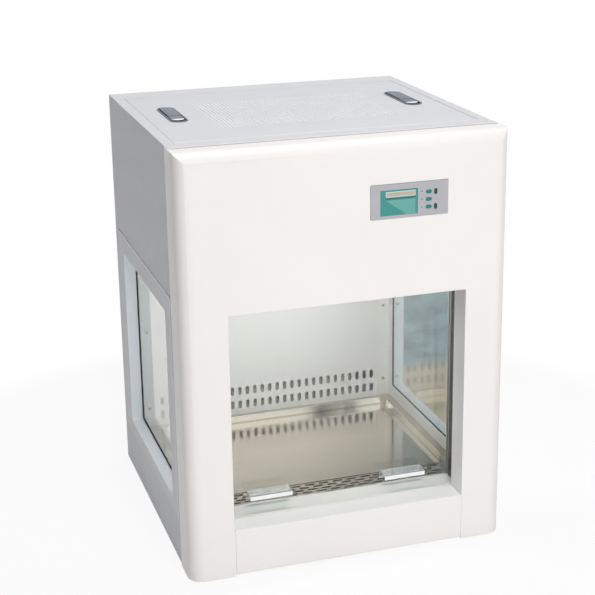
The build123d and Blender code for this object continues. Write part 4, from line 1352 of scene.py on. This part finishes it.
@dataclass
class RailTrim:
    """The seal and the bead along the front rail, and the fold that closes the rear rail; the
    seal's grey is also painted shade for the gap's shadow line.
    """

    half_width: float = 0.2975
    seal_y: Span = (-0.2428, -0.2388)
    bead_y: Span = (-0.2385, -0.2355)
    top: float = 0.782
    fold_x: float = 0.2935
    fold_y: Span = (0.2920, 0.2945)
    fold_z: Span = (0.7742, 0.7800)
    seal_z: Span = (-0.0012, 0.0004)
    bead_z: Span = (-0.001, 0.0012)

    def build(self) -> None:
        """Makes the seal, the fold and the bead."""
        x = (-self.half_width, self.half_width)
        seal_z = (self.top + self.seal_z[0], self.top + self.seal_z[1])
        # grey seal strip in the rail's gap, also standing in for the gap's shadow line as painted
        # shade
        seal_and_shade = Piece.block("rail_seal", x, self.seal_y, seal_z)
        seal_and_shade.soften(0.2 * MM, 2)
        seal_and_shade.finish("seal_rubber", "cabinet")
        fold = Piece.block("rear_fold", (-self.fold_x, self.fold_x), self.fold_y, self.fold_z)
        fold.soften(0.4 * MM, 2)
        fold.finish("grey_paint", "cabinet")
        bead_z = (self.top + self.bead_z[0], self.top + self.bead_z[1])
        bead = Piece.block("rail_bead", x, self.bead_y, bead_z)
        bead.soften(0.8 * MM, 3)
        bead.finish("white_paint", "cabinet")


@dataclass
class WindowBead:
    """The thin bead along the top and the front of a side window's surround, painted pale as a
    painted highlight.
    """

    side: Side
    x: Span = (0.2995, 0.3026)
    y: Span = (-0.213, 0.260)
    z: Span = (0.091, 0.512)
    width: float = 0.0022

    def build(self) -> None:
        """Makes the bead as a plate, of which the cut leaves two edges."""
        x = tuple(sorted(self.side.value * part for part in self.x))
        y = (self.y[0] - self.width, self.y[1])
        z = (self.z[0], self.z[1] + self.width)
        bead = Piece.block(f"{self.side.word}_window_bead", x, y, z)
        rest = ((self.y[0], self.y[1] + MM), (self.z[0] - MM, self.z[1]))
        bead.cut(Piece.block("middle", (x[0] - MM, x[1] + MM), *rest))
        bead.soften(0.7 * MM, 3)
        # paler than the surround's grey: a painted highlight where top and front light catches the
        # bead
        bead.finish("fold_paint", "cabinet")


@dataclass
class BarJoint:
    """The white strip that closes the joint between the lower bar and a leg."""

    side: Side
    x: Span = (0.2173, 0.2192)
    y: Span = (-0.2937, -0.2500)
    z: Span = (0.0065, 0.0915)

    def build(self) -> None:
        """Makes the strip, set back a little from the bar's face."""
        x = tuple(sorted(self.side.value * part for part in self.x))
        strip = Piece.block(f"{self.side.word}_bar_joint", x, self.y, self.z)
        strip.soften(0.3 * MM, 2)
        strip.finish("white_paint", "cabinet")


@dataclass
class DuctBaffle:
    """The pale sheet behind the slots of the back wall, folded over at its top and bottom."""

    gap: float = 0.015
    sheet: float = 0.0012
    x: Span = (-0.262, 0.196)
    z: Span = (0.096, 0.176)
    fold: float = 0.008

    def build(self) -> None:
        """Makes the sheet with its two folds."""
        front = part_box("back_inner_panel")[0][1] + self.gap
        sheet = Piece.block("duct_baffle", self.x, (front, front + self.sheet), self.z)
        for way_up, edge_z in zip((-1.0, 1.0), self.z):
            sheet.draw_out(
                (0.0, 0.0, way_up * self.sheet), lambda at, way: way.z * way_up > SQUARE_ON
            )
            sheet.draw_out(
                (0.0, self.fold, 0.0),
                lambda at, way: way.y > SQUARE_ON and (at.z - edge_z) * way_up > 0,
            )
        sheet.soften(0.5 * MM, 2)
        sheet.finish("baffle_paint", "cabinet")


@dataclass
class JambTrim:
    """A dark wiper strip down the inner face of each sash guide, black also as painted shade for
    the channel's shadow.
    """

    depth: float = 0.0012
    y: Span = (-0.2445, -0.208)
    z: Span = (0.0935, 0.505)
    ribs: int = 3
    groove: float = 0.0006

    def build(self) -> None:
        """Makes both strips, each with a row of ribs along it."""
        for side in Side:
            face = side.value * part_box("right_sash_guide")[0][0]
            x = tuple(sorted((face, face - side.value * self.depth)))
            strip = Piece.block(f"{side.word}_wiper", x, self.y, self.z)
            step = (self.y[1] - self.y[0]) / (2 * self.ribs + 1)
            for line in range(1, 2 * self.ribs + 1):
                strip.slice(self.y[0] + line * step, BACKWARDS)
            with strip.edit(
                Kind.FACE,
                lambda at, way: way.x * side.value < -SQUARE_ON
                and int((at.y - self.y[0]) / step) % 2 == 1,
            ):
                bpy.ops.transform.translate(value=(side.value * self.groove, 0.0, 0.0))
            strip.soften(0.2 * MM, 2)
            # black, also as painted shade where the guide's channel lies in shadow
            strip.finish("wiper", "cabinet")


@dataclass
class LampCaps:
    """The metal caps of the two lamps, each with a rolled groove."""

    length: float = 0.018
    proud: float = 0.0004
    groove: Span = (0.25, 0.4)
    groove_depth: float = 0.0007

    def cap(self, tube: str, side: Side) -> Piece:
        """One cap.

        Args:
            tube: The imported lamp.
            side: The end that it closes.

        Returns:
            The cap.
        """
        low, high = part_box(tube)
        radius = (high[2] - low[2]) / 2 + self.proud
        end = side.value * high[0]
        inwards = -side.value * self.length
        centre = (end + inwards / 2, (low[1] + high[1]) / 2, (low[2] + high[2]) / 2)
        cap = Piece.disc("lamp_cap", centre, radius, self.length, Facing.SIDE, 40)
        for share in self.groove:
            cap.slice(end + inwards * share, ACROSS)
        groove = end + inwards * sum(self.groove) / 2
        with cap.edit(Kind.FACE, lambda at, way: abs(at.x - groove) < MM and abs(way.x) < 0.5):
            bpy.ops.mesh.extrude_region_shrink_fatten(
                TRANSFORM_OT_shrink_fatten={"value": -self.groove_depth}
            )
        cap.soften(0.25 * MM, 2)
        return cap

    def build(self) -> None:
        """Makes the four caps."""
        caps = [self.cap(tube, side) for tube in ("led_tube", "uv_tube") for side in Side]
        caps[0].absorb(caps[1:])
        caps[0].thing.name = "lamp_caps"
        caps[0].finish("guide_aluminium", "cabinet")


@dataclass
class Inlet:
    """The three brass contacts of the mains inlet."""

    spread: float = 0.007
    contact: Span = (0.0022, 0.0042)
    contact_y: Span = (0.280, 0.2935)
    socket_z: float = 0.0737
    drop: float = 0.002

    def build(self) -> None:
        """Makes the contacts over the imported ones, the middle one above the other two."""
        low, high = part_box("power_inlet")
        middle = (low[0] + high[0]) / 2
        wide, tall = self.contact
        contacts = []
        for column in (-1, 0, 1):
            x = middle + column * self.spread
            z = self.socket_z + (self.drop if column == 0 else -self.drop)
            spans = ((x - wide / 2, x + wide / 2), self.contact_y, (z - tall / 2, z + tall / 2))
            contacts.append(Piece.block("contact", *spans))
        contacts[0].absorb(contacts[1:])
        contacts[0].soften(0.5 * MM, 3)
        contacts[0].thing.name = "inlet_contacts"
        contacts[0].finish("brass", "cabinet")


# Studio


@dataclass(frozen=True)
class Softbox:
    """An area lamp."""

    name: str
    place: Point
    target: Point
    size: Span
    watts: float
    colour: Colour = (1.0, 1.0, 1.0)
    mirrored: bool = True

    def hang(self) -> None:
        """Adds the lamp, aimed at its target."""
        data = bpy.data.lights.new(self.name, "AREA")
        data.shape = "RECTANGLE"
        data.size, data.size_y = self.size
        data.energy = self.watts
        data.color = self.colour
        lamp = bpy.data.objects.new(self.name, data)
        aim = Vector(self.target) - Vector(self.place)
        lamp.location = self.place
        lamp.visible_glossy = self.mirrored
        lamp.visible_transmission = False
        lamp.rotation_mode = "QUATERNION"
        lamp.rotation_quaternion = aim.to_track_quat("-Z", "Y")
        bpy.context.scene.collection.objects.link(lamp)


@dataclass
class Studio:
    """The camera, the floor, the card, the lamps and the room round the hood."""

    eye: Point = (-0.7947, -2.5517, 1.3013)
    right: Point = (0.9497, -0.3128, -0.0105)
    up: Point = (0.1032, 0.2813, 0.9540)
    lens: float = 87.75
    film_width: float = 36.0
    sight: float = 100.0
    shift: Span = (-0.0331, -0.0399)
    floor_radius: float = 30.0
    floor_colour: Colour = (0.9, 0.9, 0.9)
    floor_fade: Span = (0.9, 1.0)
    floor_white: Span = (0.85, 0.97)
    card_place: Point = (0.41, 0.37, 0.25)
    card_size: Span = (0.24, 0.56)
    card_lift: float = 0.034
    card_low: Colour = (0.11, 0.18, 0.20)
    card_high: Colour = (0.24, 0.33, 0.37)
    card_ground: Colour = (0.48, 0.41, 0.31)
    card_line: Span = (0.078, 0.102)
    ambient: float = 0.19
    softboxes: tuple[Softbox, ...] = (
        Softbox(
            "key_light",
            (-0.05, -2.9, 2.9),
            (0.0, -0.2, 0.35),
            (1.1, 1.0),
            63.0,
            (1.0, 0.98, 0.965),
            mirrored=False,
        ),
        Softbox("top_light", (0.3, 0.5, 3.2), (0.0, 0.0, 0.4), (2.4, 2.4), 42.0),
        Softbox("low_light", (0.2, -2.4, 0.3), (0.1, 0.0, 0.2), (1.4, 0.5), 11.0, mirrored=False),
        Softbox(
            "chamber_light", (0.0, -0.1, 0.45), (0.0, 0.13, 0.1), (0.44, 0.05), 1.4, mirrored=False
        ),
        Softbox(
            "sill_light", (0.0, -0.17, 0.44), (0.0, -0.25, 0.1), (0.44, 0.04), 0.3, mirrored=False
        ),
    )

    def aim_camera(self) -> None:
        """Adds the camera."""
        right, up = Vector(self.right).normalized(), Vector(self.up).normalized()
        back = right.cross(up).normalized()
        up = back.cross(right)
        data = bpy.data.cameras.new("camera")
        data.lens = self.lens
        data.sensor_width = self.film_width
        data.shift_x, data.shift_y = self.shift
        data.clip_end = self.sight
        camera = bpy.data.objects.new("camera", data)
        turn = Matrix((right, up, back)).transposed().to_4x4()
        camera.matrix_world = Matrix.Translation(self.eye) @ turn
        bpy.context.scene.collection.objects.link(camera)
        bpy.context.scene.camera = camera

    def lay_floor(self) -> None:
        """Adds the pale floor, which is plain white away from the hood."""
        bpy.ops.object.select_all(action="DESELECT")
        bpy.ops.mesh.primitive_circle_add(vertices=64, radius=self.floor_radius, fill_type="NGON")
        floor = bpy.context.active_object
        floor.name = "studio_floor"
        wiring = Wiring("studio_floor")
        lit = wiring.node("BsdfDiffuse", {"Color": (*self.floor_colour, 1.0)})
        plain = wiring.node("Emission", {"Color": WHITE, "Strength": 1.0})
        far = wiring.node("VectorMath", {0: wiring.place()}, operation="LENGTH")
        fade = wiring.span(far.outputs["Value"], *self.floor_fade, *self.floor_white)
        share = wiring.math("MULTIPLY", wiring.seen_directly(), fade)
        mixed = wiring.node("MixShader", {0: share, 1: lit.outputs[0], 2: plain.outputs[0]})
        floor.data.materials.append(wiring.close(mixed.outputs[0]))

    def stand_card(self) -> None:
        """Adds the dusky card beyond the right window, which shows through glass alone."""
        bpy.ops.object.select_all(action="DESELECT")
        bpy.ops.mesh.primitive_plane_add(
            size=1.0, location=self.card_place, rotation=(math.pi / 2, 0.0, 0.0)
        )
        card = bpy.context.active_object
        card.name = "studio_card"
        card.scale = (*self.card_size, 1.0)
        bpy.ops.object.transform_apply(location=True, rotation=True, scale=True)
        bpy.ops.object.mode_set(mode="EDIT")
        bpy.ops.mesh.select_mode(type="EDGE")
        bpy.ops.mesh.select_all(action="DESELECT")
        mesh = bmesh.from_edit_mesh(card.data)
        for edge in mesh.edges:
            edge.select_set(max(vert.co.z for vert in edge.verts) < 0.0)
        mesh.select_flush_mode()
        bmesh.update_edit_mesh(card.data)
        bpy.ops.transform.translate(value=(0.0, 0.0, self.card_lift))
        bpy.ops.mesh.extrude_region_move(
            TRANSFORM_OT_translate={"value": (0.0, -self.card_size[1], 0.0)}
        )
        bpy.ops.object.mode_set(mode="OBJECT")
        wiring = Wiring("studio_card")
        clouds = wiring.noise(14.0, 3.0, wiring.place((1.0, 1.0, 2.2)))
        dusk = wiring.blend(wiring.span(clouds, 0.0, 1.0, 0.4, 0.6), self.card_low, self.card_high)
        height = wiring.node("SeparateXYZ", {0: wiring.place()})
        above = wiring.span(height.outputs[2], 0.0, 1.0, *self.card_line)
        tone = wiring.blend(above, self.card_ground, dusk)
        glow = wiring.node("Emission", {"Color": tone, "Strength": wiring.seen_directly()})
        card.data.materials.append(wiring.close(glow.outputs[0]))
        for ray in ("camera", "diffuse", "glossy", "shadow"):
            setattr(card, f"visible_{ray}", False)

    def light_room(self) -> None:
        """Sets the room's even light, which the camera and mirrors see as plain white."""
        wiring = Wiring("room", world=True)
        level = wiring.span(wiring.seen_directly(), self.ambient, 1.0, 0.0, 1.0)
        sky = wiring.node("Background", {"Color": WHITE, "Strength": level})
        bpy.context.scene.world = wiring.close(sky.outputs[0])

    def build(self) -> None:
        """Sets up the studio."""
        bpy.context.scene.view_settings.view_transform = "Standard"
        self.aim_camera()
        self.lay_floor()
        self.stand_card()
        self.light_room()
        for softbox in self.softboxes:
            softbox.hang()
        log.info("studio: camera, floor and %d lamps", len(self.softboxes))


DRESSING: tuple[tuple[str, float, tuple[str, ...]], ...] = (
    ("white_paint", 0.8, ("front_moulding", "lower_front_bar")),
    ("liner_paint", 0.4, ("left_inner_liner", "right_inner_liner")),
    ("liner_paint", 0.0, ("back_inner_panel",)),
    ("liner_paint", 0.4, ("plenum_front_wall", "ceiling_frame")),
    ("grey_paint", 0.5, ("left_side_panel", "right_side_panel", "back_outer_panel")),
    ("surround_paint", 2.0, ("left_window_surround", "right_window_surround")),
    ("grey_paint", 0.6, ("top_frame", "base_pan")),
    ("stainless", 0.4, ("work_tray", "chamber_floor")),
    ("sill_paint", 0.4, ("front_sill",)),
    ("sill_metal", 0.4, ("diffuser_screen", "fan_deck", "motor_bracket")),
    ("sill_metal", 0.0, ("inlet_ring",)),
    ("guide_aluminium", 0.4, ("left_sash_guide", "right_sash_guide", "hepa_frame")),
    ("guide_aluminium", 0.4, ("prefilter_frame",)),
    ("clear_glass", 0.0, ("sash_glass",)),
    # left window glass tinted grey as painted shade
    ("side_glass", 0.0, ("left_window_glass",)),
    ("tinted_glass", 0.0, ("right_window_glass",)),
    ("black_rubber", 0.4, ("left_window_gasket", "right_window_gasket", "hepa_gasket")),
    ("black_rubber", 0.6, ("feet",)),
    ("filter_paper", 0.0, ("hepa_media",)),
    ("filter_paper", 0.8, ("prefilter_media",)),
    ("lamp_housing", 0.5, ("lamp_fitting",)),
    ("lamp_glass", 0.6, ("led_tube", "uv_tube")),
    ("fascia", 0.3, ("display_fascia",)),
    ("display", 0.2, ("display_window",)),
    ("teal_key", 0.3, ("power_key", "fan_key", "lamp_key")),
    ("dark_key", 0.3, ("up_key", "down_key")),
    ("board", 0.2, ("control_board",)),
    ("black_plastic", 0.4, ("power_inlet",)),
    ("steel", 0.2, ("left_handle_pin", "right_handle_pin")),
    ("motor", 0.6, ("fan_motor",)),
    ("impeller", 0.3, ("impeller",)),
)

TOP_SCREWS = ((-0.2885, -0.206, 0.782), (-0.2805, -0.206, 0.782), (0.2885, -0.212, 0.782))
TOP_SCREW_SIZE = (0.0025, 0.0012)


def main() -> None:
    """Builds and dresses the hood, one sub-assembly after the other."""
    logging.basicConfig(level=logging.INFO, format="%(name)s: %(message)s")
    bpy.ops.object.select_all(action="DESELECT")
    Studio().build()
    for finish, edge, nodes in DRESSING:
        for node in nodes:
            dress(node, finish, edge)
        log.info("%s on %s", finish, ", ".join(nodes))
    Cover().build()
    for side in Side:
        Pull(side).build()
    Screen().build()
    Screws("rear_panel_screws", "rear_screws", Facing.REAR, 4, "steel").build()
    Screws("liner_panel_screws", "liner_screws", Facing.FRONT, 3, "brass").build()
    Screws("top_rail_screws", "", Facing.UP, 1, "steel", *TOP_SCREW_SIZE, TOP_SCREWS).build()
    for side in Side:
        SashHandle(side).build()
    for side in Side:
        WindowBead(side).build()
        BarJoint(side).build()
    RailTrim().build()
    DuctBaffle().build()
    Grille().build()
    JambTrim().build()
    LampCaps().build()
    Inlet().build()


if __name__ == "__main__":
    main()
